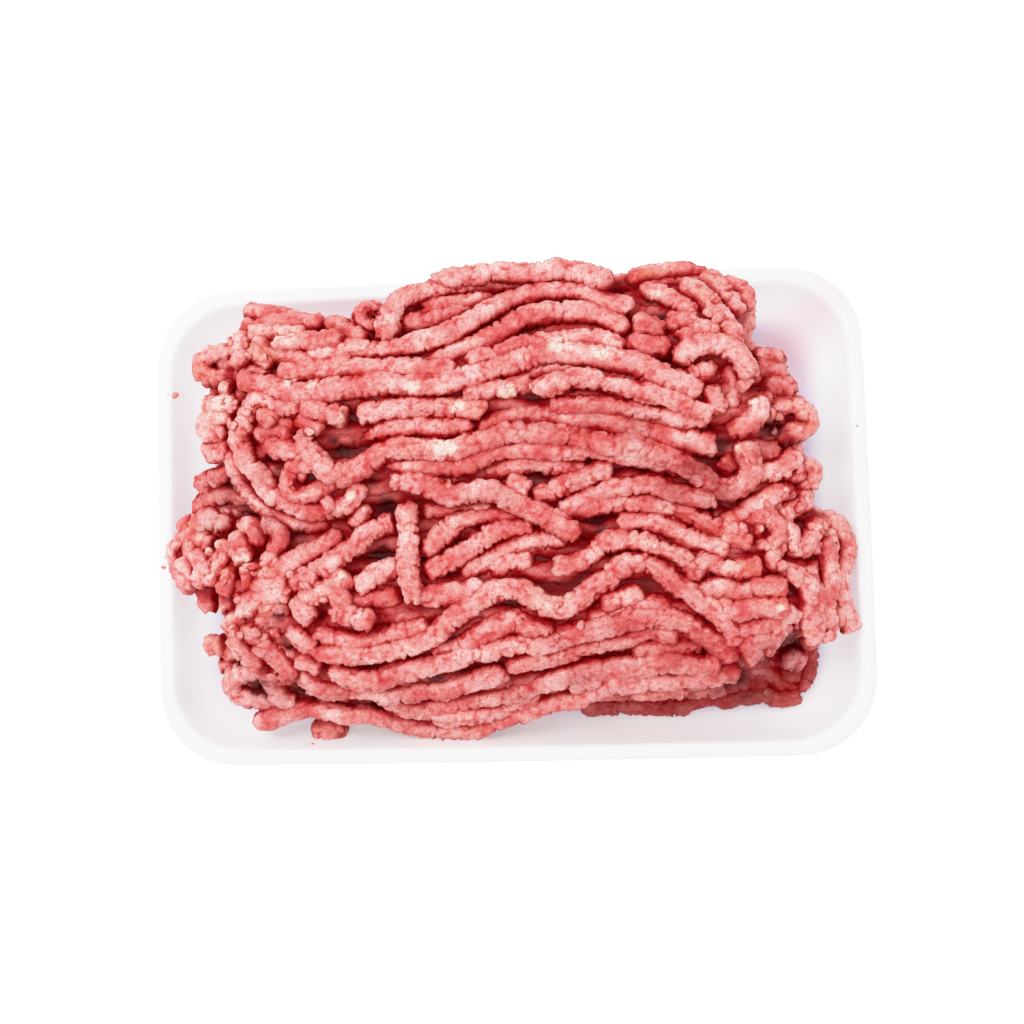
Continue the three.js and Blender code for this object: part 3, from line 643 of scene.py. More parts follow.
# Front hank: the strands of the second rope, which leans on the first and sags down to the front lip. They
# come from the same plate, over 6 mm thick, and are pressed into one another where they touch.
FRONT_HANK = (
    [0, -22, -11, -19, -8.5, -15, -5, -11.5, -2, -7.5, -1, -3, -0.7, 5, -1.5],
    [0, -21.5, -17, -18, -15.5, -14, -13.5, -10, -11, -5, -8, -1, -5.5, 3.5, -4.5, 8.5, -4],
    [-3, -30, 9, -24.5, 9, -19, 7.5, -13.5, 5.5, -8, 6, -2.5, 6.5, 1, 5, 4.5, 3, 9, 1, 13, -1, 17.5, -3.5,
     22, -6.7],
    [1, 9, 4, 13.5, 5, 18, 7, 22.5, 8.5, 27, 9.5, 31, 10],
    [0, 16, -0.5, 20, 0.5, 24.5, 3, 29, 5, 34, 6, 38.5, 6.5, 42, 6.5, 45.5, 5.5, 50, 4, 59, 2.5],
    [0, 18, -1, 22, 0, 27, 1.5, 31.5, 2, 36, 1.5, 41, 0.8, 45, 0.3, 49, -0.7, 52.5, -3, 56, -5, 59.5, -7,
     64.5, -7.5, 68, -8],
    [0, 32.5, -4, 40.5, -4.2, 45, -5.5, 49.5, -8, 54, -9.8, 58.5, -11.5, 62, -12.5],
    [0, 14.5, -15, 19, -15, 23.5, -13, 28, -9.5, 31.5, -8.5, 36.5, -9, 40.5, -10, 45, -12, 49, -14.5, 52,
     -18, 54, -21],
    [-1, -54.5, -37.5, -46.5, -38, -36.5, -38, -31.5, -37, -26.5, -36, -22.5, -34.5, -18.5, -32, -15, -29.5,
     -11.5, -26.5, -7, -23.5, -2.5, -21.5, 2, -21, 6, -21.8, 9, -24.3, 12, -26.5, 17, -27, 20.5, -25.5,
     24, -22.5, 28, -20, 32.5, -17, 37, -15.5, 41, -16.5, 47, -20.5, 51.5, -23.5, 54.5, -27, 58, -30,
     60, -33, 62, -36, 63, -39.5],
    [0, 65, -36.5, 68, -40.5, 66, -42],
    [0, -24, -22, -17, -22.5, -10, -22, -5, -19.5],
    [-3.5, -26, 3.3, -25.5, -3, -25.5, -10, -25.5, -17, -25, -24],
    [0, -67, -17, -63, -15, -59.5, -13, -55, -10.5, -49.5, -8, -44.5, -5],
    [-0.5, -57.5, -17, -53, -15, -48.5, -13, -43.5, -10.5],
    [-1, -50.5, -16, -46, -12, -42.5, -9.5, -38.5, -6, -33.5, -3, -29.5, -1.5],
    [0, -59, -18, -54.5, -17, -51, -17],
    [0, -41, -3.5, -39.5, 0, -36.5, 3],
    [0, -40.5, -20, -35.5, -17, -28, -14.5],
    [0.5, -52, -31, -48.5, -33, -44.5, -34, -41, -35, -36, -34, -31.5, -33, -26, -32, -20, -31],
    [1, -12.5, -37, -8.5, -34.5, -5.5, -32.5, -1.5, -30.5, 2, -29.5, 5.5, -29.5, 9.5, -31, 14, -31],
    [0, -50, -42, -45.5, -44, -41, -45.5, -35.5, -45, -31.5, -43.5, -26.5, -42.5, -20.5, -41, -14.5, -39.5,
     -9.5, -38, -5, -38, 0.5, -37, 5, -36, 14, -35.5, 19, -33.5, 28.5, -32, 35, -30.5, 41, -30.5, 46.5, -31,
     50.5, -32.5, 53.5, -35, 56.5, -37, 60, -40, 62, -43],
    [0, -58.5, -44, -55, -45.5, -51.5, -47.5, -42.5, -48.5, -37.5, -48.5, -33.5, -49.5, -19.5, -48.5,
     -14, -47.5, -8, -46, -3, -44.5, 0, -43],
    [1, 0, -43, 5, -41.5, 14, -39.5, 23.5, -37.5, 29, -36.5, 35, -35.5, 39.5, -34, 47.5, -35.5],
    [1, -37, -50, -33.5, -52, -29.5, -54, -24.5, -54, -18.5, -53.5, -12.5, -52, -2.5, -50.5, 6.5, -48, 16,
     -45, 27, -42],
    [0, -76, -57.5, -71, -57, -64.5, -55, -59.5, -54.5, -48, -55.5, -42.5, -56.5, -36.5, -58, -27.5, -60.5,
     -21.5, -61.5, -15.5, -61.5, -10.5, -61, -5.5, -59, 4, -56.5, 14, -53.5, 19, -52.5, 23, -50, 27.5, -48,
     32, -46, 37, -45],
    [0, 18, -47.5, 22, -47, 26, -45, 29.5, -43.5, 35, -42.5, 40, -42.5, 45, -41.5, 50, -42.5, 59, -43],
    [0, 30.5, -48, 39, -47, 44.5, -48, 50, -47, 55.5, -46.5, 60, -46, 64.5, -45.5],
    [14, 20, -54.5, 30, -54.5, 42, -56, 54, -55],
    [16, 50, -52.5, 59.5, -53.5, 65, -52.5, 70.5, -52.5, 76.5, -53.5, 81, -52.5],
    [1, -58.5, -29.5, -56.5, -33, -52, -36],
    [-1, -56.5, -22, -55, -26, -53, -29],
    [-1, -56, -23, -50, -20.5, -46, -21.5, -44.5, -25, -47, -27.5],
    [-0.5, -49, -20, -44, -17, -42.5, -15.5],
    [-2, -46, -26.5, -41.5, -28, -35.5, -29],
    [2, -11, -17, -5, -14, -1, -12, 4, -9.5, 9, -7.5, 14, -7, 19, -8],
    [2, -44, -23.5, -35, -23, -28, -21.5],
    [1, -24, -57, -19, -57, -12, -56, -6, -54.5, 4, -51.5, 9, -50],
    [1, 34, -50.5, 40, -50.5, 46, -50, 50.5, -49.5],
    [2, 35, -38.5, 42, -38.5, 54.5, -38],
    [2, 22.5, -30, 26.5, -29.5, 30.5, -29, 37.5, -26.5, 42, -26, 46, -27],
    [2, 27, -26.5, 30.5, -25, 34.5, -24, 38, -21.5],
    [1, -3, -15.5, 9, -14],
    [2, -20.5, -36.5, -15, -37, -10.5, -36],
)
strands = laid(FRONT_HANK, 3)
strand_piece("front_strands", strands[:20], 3)
strand_piece("front_low_strands", strands[20:], 13)

# Ends of the front hank: small hooks at the left, and a sheaf at the right that bends down to the front. A
# few loops lie low on the tray at the front right corner, in the shade of the strands above them.
FRONT_ENDS = (
    [3, -86.5, 10.5, -82, 12, -77, 13.5, -73.5, 15],
    [3, -89, 3, -84, 5.5, -78.5, 7, -74, 6.5, -70.5, 4.5],
    [3.5, -82.5, 3, -76.5, 4, -72.5, 2.5, -68, -0.5],
    [6, -65.5, -0.5, -60, -3.5, -55, -4.5],
    [0, -89, -2, -86.5, 0.5, -83, 1.5, -79, -0.5, -77.5, -3],
    [2.5, -94, -0.5, -89.5, -0.5],
    [2, -83, -7, -87, -4.5, -92, -5, -95.5, -7.5, -94.5, -11.5, -92, -14.5, -88.5, -17.5],
    [2, -87, -9.5, -89.5, -12.5],
    [-0.5, -67.5, -1.5, -63.5, -2, -62, -5, -63.5, -8.5, -66.5, -8.5],
    [0, -74.5, -2.5, -71.5, -1, -69, -3.5, -70, -7],
    [0, -78, -5.5, -79.5, -9.5, -82, -13.5, -84.5, -18],
    [-0.5, -75.5, -5.5, -74, -9, -72.5, -12],
    [0.5, -78.5, -12.5, -77.5, -16.5, -80, -20],
    [1, -73, -17.5, -69.5, -17],
    [6, -85, -15, -85, -20, -84, -25.5],
    [6, -79, -18, -77, -22, -78, -26],
    [0.5, -70, -18.5, -64, -17.5, -59, -17],
    [0.5, -71, -14.5, -67.5, -15, -63.5, -15.5, -59, -16.5],
    [1, -72.5, -27.5, -71, -23, -66.5, -21, -61.5, -20.5, -57.5, -22],
    [4, -68.5, -24.5, -63.5, -24, -58.5, -26],
    [3, -77, -29, -75.5, -33.5, -72.5, -37, -68, -41],
    [5, -78, -31.5, -75.5, -28, -71, -27.5],
    [3, -72.5, -28.5, -70, -32, -65.5, -34],
    [5, -67, -28.5, -63.5, -30.5, -61, -34.5],
    [1.5, -68.5, -33.5, -66, -37, -63, -40, -60.5, -43],
    [6, -64, -35, -61, -38, -59, -41.5],
    [5, -69, -40, -66.5, -46, -65, -50, -60.5, -50.5],
    [11, -85.5, -35, -79.5, -34.5],
    [12, -80, -38, -74, -36.5],
    [8, -68, -40.5, -74.5, -42, -78.5, -44.5, -79, -47.5, -76, -49.5, -71, -50.5, -66, -51],
    [12, -75, -46, -70, -46.5],
    [12, -65, -51, -57.5, -51, -50.5, -52.5, -43.5, -54],
    [13, -57, -59.5, -53, -60.3, -47.5, -58.5],
    [9, -50, -50.5, -45, -51.5, -39, -53],
    [1, -58.5, -38.5, -51.5, -42],
    [1, 60, -5.5, 64.5, -4, 69, -1.5],
    [-0.5, 66, -2, 71.5, 1, 75, 3, 79, 3.5],
    [1, 70.5, -3, 74, -0.5, 77.5, 1],
    [0, 76, -3.5, 80.5, -0.5, 84.5, 0.5],
    [0, 59.5, -8, 64, -9.5, 69, -10],
    [0.5, 53.5, -14, 57.5, -17],
    [0, 77.5, -4.5, 78.5, -8.5, 80.5, -13, 83.5, -11.5, 85.5, -7.5, 88, -4],
    [3, 86, -4.5, 92, -5, 95.5, -9.5, 95.5, -15, 93, -20, 92.5, -25.5, 94, -30, 96, -35.5],
    [1, 89, -9.5, 90, -17, 89.5, -22.5, 89, -27, 89, -31.5, 90, -36.5],
    [5, 91.5, -26, 91.5, -34],
    [1, 84, -16, 84, -21, 85.5, -26, 85.5, -30.5, 87, -36],
    [0.5, 75.5, -17.5, 79.5, -19, 82, -21.5, 83, -25.5, 83.5, -30, 84.5, -34, 86, -38.5],
    [5, 80.5, -25.5, 79.5, -29.5, 80.5, -34],
    [0, 54, -21, 58, -25.5],
    [0.5, 69.5, -41, 73, -36.5, 76, -32, 79, -28],
    [20, 71, -43, 74, -38.5, 79, -36.5, 82, -38, 84, -41, 84.5, -45.5, 83, -49.5, 80.5, -52],
    [18.5, 65.5, -44, 70, -45, 75, -47.5, 79.5, -50],
    [14.5, 76, -42, 79, -42.3, 82, -43.5],
    [18, 55, -46.5, 61, -48.5, 68, -48.5],
    [13, 51, -50.5, 56.5, -50.5, 60.5, -49.5],
    [22, 70, -42, 75, -42.5, 79, -41.5],
    [12, 83, -18.5, 84.5, -14.5, 85, -11],
)
strand_piece("front_ends", laid(FRONT_ENDS, 4), 4)

# Small pieces among the ends: curls, stubs and segments that broke off the strands. They are a little
# thinner, and lie in the hollows between the ends.
SMALL_PIECES = (
    [0, -32.5, 54, -36, 53.5, -37.5, 57.5, -34.5, 59, -32, 56.5],
    [-0.5, -67, 51, -64, 47.5, -61, 44],
    [0, -56.5, 39, -54, 36.5],
    [0.5, -61, 31, -57.5, 30.5, -54, 29.5],
    [4, -75, 25, -71, 25],
    [-0.5, -49.5, 15.5, -54, 14.5, -57, 13.5, -58.5, 10.5, -58, 8, -55, 7, -51, 8, -48, 9.5, -44.5, 10.5],
    [0.5, -55.5, 12.5, -53, 11.5],
    [-1, -49, 3, -46, 5],
    [0, -67.5, -10.5, -65, -11.5, -63, -10.5],
    [0.5, -74, -13.5, -70, -13.5],
    [1, -68.5, -16.5, -62, -16],
    [-0.5, -57, -19.5, -53, -18.5],
    [2, 63, 62.5, 66.5, 61, 69, 58.5, 68.5, 53.5],
    [1, 62, 58, 65.5, 56, 67, 51.5],
    [4, 61, 55, 65, 52],
    [-0.5, 58.5, 32, 59.5, 28, 60.5, 24],
    [6, 74, 29, 78, 28.5, 81, 30],
    [8, 74, 24, 78, 21.5],
    [1, 81.5, 6, 81.5, 9.5, 83.5, 11.5, 86.5, 9, 85, 5.5, 81, 3.5],
    [1, 84.5, 4.5, 83.5, 1, 85, -2],
    [1, 77, 5.5, 80.5, 1],
    [-0.5, 68, -5, 73, -3.5, 75.5, -6.5, 74, -10, 69.5, -10.5],
    [1, 69, -6.5, 72, -7],
    [2, 69, -12.5, 73, -13.5],
    [0.5, 77, -11, 74.5, -13, 73.5, -15.5, 75.5, -17.5],
    [1, 86, -10, 85.5, -14],
    [2, 87.5, -29.5, 88.5, -34],
    [13, -82, -41, -76, -40],
    [4, -71.5, -36, -68.5, -37.5],
)
SMALL_SHARE = 0.86
small = [(SMALL_SHARE * radius, ends, line) for radius, ends, line in laid(SMALL_PIECES, 6)]
strand_piece("small_pieces", small, 6, 0.5, 30)

# Torn chunks: where the strands were pressed together they broke off as thick blocks, still side by side,
# with straight cuts across them.
CHUNKS = (
    [0, 53, -17.5, 56, -15.5, 60, -16.5, 65, -17, 70, -16.3],
    [0, 55, -23.7, 59.5, -22.5, 63.5, -24, 68.5, -23.5],
    [-1, 67.5, -23.3, 72.5, -23, 77.5, -23.7],
    [0.5, 58.5, -28, 64, -28.5, 70, -27.8, 77, -28.5],
    [1.5, 63, -33.3, 69, -33, 75.5, -31.5],
    [1.5, 67, -37.5, 73, -35],
    [0.5, -93, -9.5, -91, -14.5, -91.5, -19],
    [1, -87.5, -8, -86, -13, -87.5, -18],
    [0.5, -75, -3, -73.5, -7, -74.5, -11],
)
CHUNK_SHARE = 1.08
chunks = [(CHUNK_SHARE * radius, ("cut", "cut"), line) for radius, ends, line in laid(CHUNKS, 12)]
strand_piece("torn_chunks", chunks, 12)

# A second layer just below the loose ends, of the same strands broken short, so that no deep holes stay open.
# It keeps inside the heap's foot, which is the line on which the heap stands on the tray.
FOOT = (
    (-40, 55), (-70, 54), (-80, 44), (-80, 20), (-90, 4), (-93, -9), (-86, -20), (-76, -32), (-74, -46),
    (-58, -51), (-35, -57), (-10, -59), (15, -53), (35, -54), (60, -53.5), (80, -50), (84, -40), (91, -30),
    (92, -9), (83, 2), (82, 20), (80, 33), (69, 45), (69, 57), (58, 63), (40, 64), (15, 66), (-15, 64),
)

SECOND_LAYER = (
    # x and y ranges, heading in degrees
    (-88, -58, 14, 56, -8), (-92, -58, -22, 12, 15), (-82, -56, -50, -24, -50), (56, 72, 20, 62, -40),
    (66, 84, 6, 38, 0), (58, 92, -20, 4, -20), (58, 92, -40, -18, -70),
)
rng = np.random.default_rng(33)
broken = []
ROW_STEP, ALONG_STEP = 5.6, 12.5
for x0, x1, y0, y1, heading in SECOND_LAYER:
    for y in np.arange(y0 + 3, y1, ROW_STEP):
        for x in np.arange(x0 + 5, x1, ALONG_STEP):
            way = math.radians(heading + rng.normal(0, 16))
            bend = rng.normal(0, 0.35)
            length = rng.uniform(11, 15)
            px, py = x + rng.normal(0, 1.5), y + rng.normal(0, 0.8)
            route = [rng.uniform(4.6, 6)]
            for part in (-0.5, -0.17, 0.17, 0.5):
                turn = way + bend * part
                route += [px + length * part * math.cos(turn), py + length * part * math.sin(turn)]
            broken.append(route)


def foot_crossings(y):
    """Where a line across the heap at this y crosses its foot."""
    return [
        x0 + (x1 - x0) * (y - y0) / (y1 - y0)
        for (x0, y0), (x1, y1) in zip(FOOT, FOOT[1:] + FOOT[:1]) if (y0 - y) * (y1 - y) < 0
    ]


def inside_foot(x, y):
    return sum(crossing > x for crossing in foot_crossings(y)) % 2 == 1


MARGIN = 1.07
broken = [route for route in broken
          if all(inside_foot(x * MARGIN, y * MARGIN) for x, y in zip(route[1::2], route[2::2]))]
strand_piece("second_layer", laid(broken, 8), 8, 0.62, 26)

# Juice and painted shade: a faint pink film that has run out of the meat on to the tray, thickest at the
# heap's foot, where the same tint also paints the heap's shadow and the pink light thrown off the meat. It is
# only a colour in the skin of the foam, with some wider spots of it in the corners, which paint the heap's
# shadow there too.
foot = hermite(FOOT + FOOT[:1], 2)
away = np.array([np.hypot(*(foot - point[:2]).T).min() for point in tray_points])
juice_and_shade = 0.3 * np.exp(-((away / 3.2) ** 2)) * (0.4 + 1.2 * lumps(tray_points / 5, 91))
juice_and_shade *= tray_points[:, 2] > 3
JUICE_AND_SHADE_SPOTS = (
    # x, y, reach, how strong
    (100.5, -27, 2, 0.15), (84, 20, 7, 0.12), (-78, -40, 6, 0.1), (10, -63, 9, 0.12), (80, 42, 10, 0.45),
    (88, 54, 11, 0.42), (-90, -46, 16, 0.2), (-45, 64, 14, 0.12), (98, 62, 12, 0.3),
)
for x, y, reach, strength in JUICE_AND_SHADE_SPOTS:
    juice_and_shade += strength * np.exp(-((np.hypot(tray_points[:, 0] - x, tray_points[:, 1] - y) / reach) ** 2))
give(tray_mesh, "juice_and_shade", juice_and_shade)


# Packed inside: more of the same strands, laid side by side across the whole heap below those on top. They
# are given deeper painted shade and show, dark red, in the gaps between these.
def low_corner(x, y):
    """How far the heap drops at its front right corner, where only a few loops lie on the tray."""
    return 15 * np.clip((0.49 * (x - 45) - 0.87 * (y + 50) - 1) / 5, 0, 1)


rng = np.random.default_rng(77)
inner = []
INNER_RADIUS, INNER_DROP, INNER_STEP = 3.2, 7.2, 5.3
y = -55.0
while y < 65:
    crossings = foot_crossings(y)
    x = np.linspace(min(crossings) + 5, max(crossings) - 5, 30)
    sway = np.cumsum(rng.normal(0, 0.9, len(x)))
    sway -= np.linspace(sway[0], sway[-1], len(x))
    line_y = y + sway
    z = skin(x, line_y) - INNER_DROP + rng.uniform(-0.9, 0.9, len(x)) - low_corner(x, line_y)
    inner.append((INNER_RADIUS, ("round", "round"), np.c_[x, line_y, z]))
    y += INNER_STEP
strand_piece("inner_strands", inner, 9, 0.9, 18)

# Dense middle: the meat below them, pressed to one mass by its own weight. It is painted dark red as painted
# shade, and is seen only as a dark red ground in the deepest gaps and low between the strands of the sides.
BED_SHARE, BED_DROP, BED_LOW = 0.95, 10.5, 4.0
outline = hermite(FOOT + FOOT[:1], 3)[:-1]
bed = []
for share in np.linspace(0, 1, 40):
    x, y = (outline * share * BED_SHARE).T
    z = skin(x, y) - BED_DROP - 6 * share ** 8 - low_corner(x, y)
    bed.append(np.c_[x, y, np.maximum(z, BED_LOW + 0.2)])
bed.append(np.c_[outline * BED_SHARE, np.full(len(outline), BED_LOW)])
bed_points = np.vstack(bed)
bed_points[:, :2] += 1.2 * (np.c_[lumps(bed_points / 3, 31), lumps(bed_points / 3, 32)] - 0.5)
bed_points[:, 2] += 2.2 * (lumps(bed_points / (7, 2.6, 4), 33) - 0.5)
bed_points[:, 2] = np.maximum(bed_points[:, 2], tray_top(bed_points[:, 0], bed_points[:, 1]) + 0.4)
n = len(outline)
bed_quads, bed_caps = side_faces(len(bed) - 1, n)
bed_quads = np.roll(bed_quads + n, -1, 1)
bed_caps = [[v + n for v in cap] for cap in bed_caps]
upward = np.tile((0.0, 0, 1), (len(bed_points), 1))
no_fat = np.zeros(len(bed_points))
pieces.append(("dense_middle", bed_points, upward, bed_quads, bed_caps, no_fat, no_fat + 0.6))

# Sides: strands laid round the heap's foot in rows, one over another, in front of the dense middle. The heap
# leans on them.
SIDE_RADIUS = 3.2
SKIRTS = (
    # height, how far out from the foot's line, first and last point of the foot
    (10.5, 0.8, 0, 3), (17, 0.8, 1, 4), (24, 0.8, 0, 3), (31, 0.8, 0, 3), (13, 0.8, 4, 8), (20.5, 0.8, 3, 7),
    (27, -1.5, 3, 6), (10.5, 0.8, 15, 18), (17, 0.8, 16, 19), (12, 0.8, 18, 22), (19, 0.8, 19, 23),
    (26, 0.8, 20, 24), (26, -2, 17, 20), (24, 0.8, 23, 27), (31, 0.8, 24, 28), (10, 0.8, 8, 9),
    (10.5, -1, 23, 28), (17, 0, 22, 28), (24, 0, 26, 28), (13, -2.5, 11, 14), (20, -3, 10, 13),
    (15, 0.3, 27, 29), (21.5, 0.2, 27, 29), (8.5, 0.4, 27, 30),
    (18, -9, 13, 14), (12, -7, 13, 14), (9.5, -9, 14, 17),
)
skirts = []
for z, out, first, last in SKIRTS:
    corners = np.array([FOOT[k % len(FOOT)] for k in range(first, last + 1)], float)
    corners *= 1 + out / np.linalg.norm(corners, axis=1)[:, None]
    skirts.append((SIDE_RADIUS, ("round", "torn"), np.c_[corners, np.full(len(corners), z)]))
strand_piece("side_strands", skirts, 10, 0.7, 26)

# Crumbs and torn bits: lumps of a few millimetres that the mincer tears off. They lie thickest where the
# strands end, at the left and at the right, and stick in the hollows between them.
low = np.array((-108.0, -78.0, -6.0))
shape = (216, 156, 70)
filled = np.zeros(shape)
reach = np.arange(-3, 4)
BALL = 12
ball = np.array([(i, j, k) for i in reach for j in reach for k in reach if i * i + j * j + k * k <= BALL])
cell = np.clip(((np.vstack(middles) - low)[:, None] + ball[None]).astype(int), 0, np.array(shape) - 1)
filled[tuple(cell.reshape(-1, 3).T)] = 1
surface = low[2] + (filled * np.arange(shape[2])).max(2)
CLUMPS = (
    # x, y, spread along x and y, how many, size of a lump
    (-66, 50, 8, 5, 5, 1.7), (-74, 30, 5, 10, 5, 1.7), (-62, 25, 8, 4, 5, 1.5), (-84, -12, 5, 5, 4, 1.8),
    (-70, -12, 6, 6, 5, 1.6), (-70, -30, 6, 8, 7, 1.7), (-56, -20, 6, 5, 5, 1.5), (-64, -44, 7, 6, 6, 1.7),
    (56, 52, 8, 6, 4, 1.7), (76, 24, 5, 8, 5, 1.7), (78, 2, 7, 6, 6, 1.7), (82, -16, 5, 6, 4, 1.6),
    (86, -26, 5, 8, 5, 1.8), (0, 3, 26, 5, 5, 1.2), (10, -32, 30, 6, 5, 1.2),
)
STRAYS = (
    # x, y, size: bits that lie by themselves on the tray
    (-100.1, 39.9, 0.9), (-103, -11.9, 0.6), (101.9, 23, 0.35), (-59.6, -65.4, 0.55),
)
FLATNESS = 0.8
LUMP_ROWS, LUMP_COLUMNS = 11, 18
rng = np.random.default_rng(5)
lump_points, lump_quads, lump_caps = [], [], []
tilt = (np.arange(LUMP_ROWS) + 0.5) / LUMP_ROWS * math.pi
turn = np.arange(LUMP_COLUMNS) / LUMP_COLUMNS * 2 * math.pi
unit = np.stack([
    np.sin(tilt)[:, None] * np.cos(turn)[None], np.sin(tilt)[:, None] * np.sin(turn)[None],
    np.broadcast_to(np.cos(tilt)[:, None], (LUMP_ROWS, LUMP_COLUMNS)),
], -1).reshape(-1, 3)


def add_lump(points):
    quads, caps = side_faces(LUMP_ROWS, LUMP_COLUMNS)
    count = len(unit) * len(lump_points)
    lump_points.append(points)
    lump_quads.append(quads + count)
    lump_caps.extend([v + count for v in cap] for cap in caps)


for x, y, wide, deep, number, size in CLUMPS:
    for _ in range(number):
        px, py = x + rng.normal(0, wide / 1.7), y + rng.normal(0, deep / 1.7)
        big = size * rng.uniform(0.65, 1.1)
        i, j = int(px - low[0]), int(py - low[1])
        near_top = surface[i - 2:i + 3, j - 2:j + 3]
        spin = rng.normal(size=(3, 3)) * (1, 1, 0.35)
        spin[2, 2] = 1.6
        spin = np.linalg.qr(spin)[0]
        if np.linalg.det(spin) < 0:
            spin[:, 0] *= -1
        stretch = rng.uniform(1, 1.7)
        if near_top.min() < tray_top(px, py) + 4:
            continue
        middle = np.array((px, py, near_top.mean() + 0.6 - 0.55 * big * FLATNESS))
        lump = unit * (big * stretch, big, big * FLATNESS)
        lump *= 1 + 0.5 * (lumps(unit * 1.6 + rng.uniform(0, FAR_OFF), 15) - 0.5)[:, None]
        add_lump(middle + lump @ spin.T)
for x, y, big in STRAYS:
    add_lump(np.array((x, y, tray_top(x, y) + 0.3 * big)) + unit * (big * 1.3, big, big * 0.6))
lump_points = np.vstack(lump_points)
no_crack = np.zeros(len(lump_points))
grained("crumbs", lump_points, np.vstack(lump_quads), lump_caps, no_crack, no_crack + 1.1, 40)
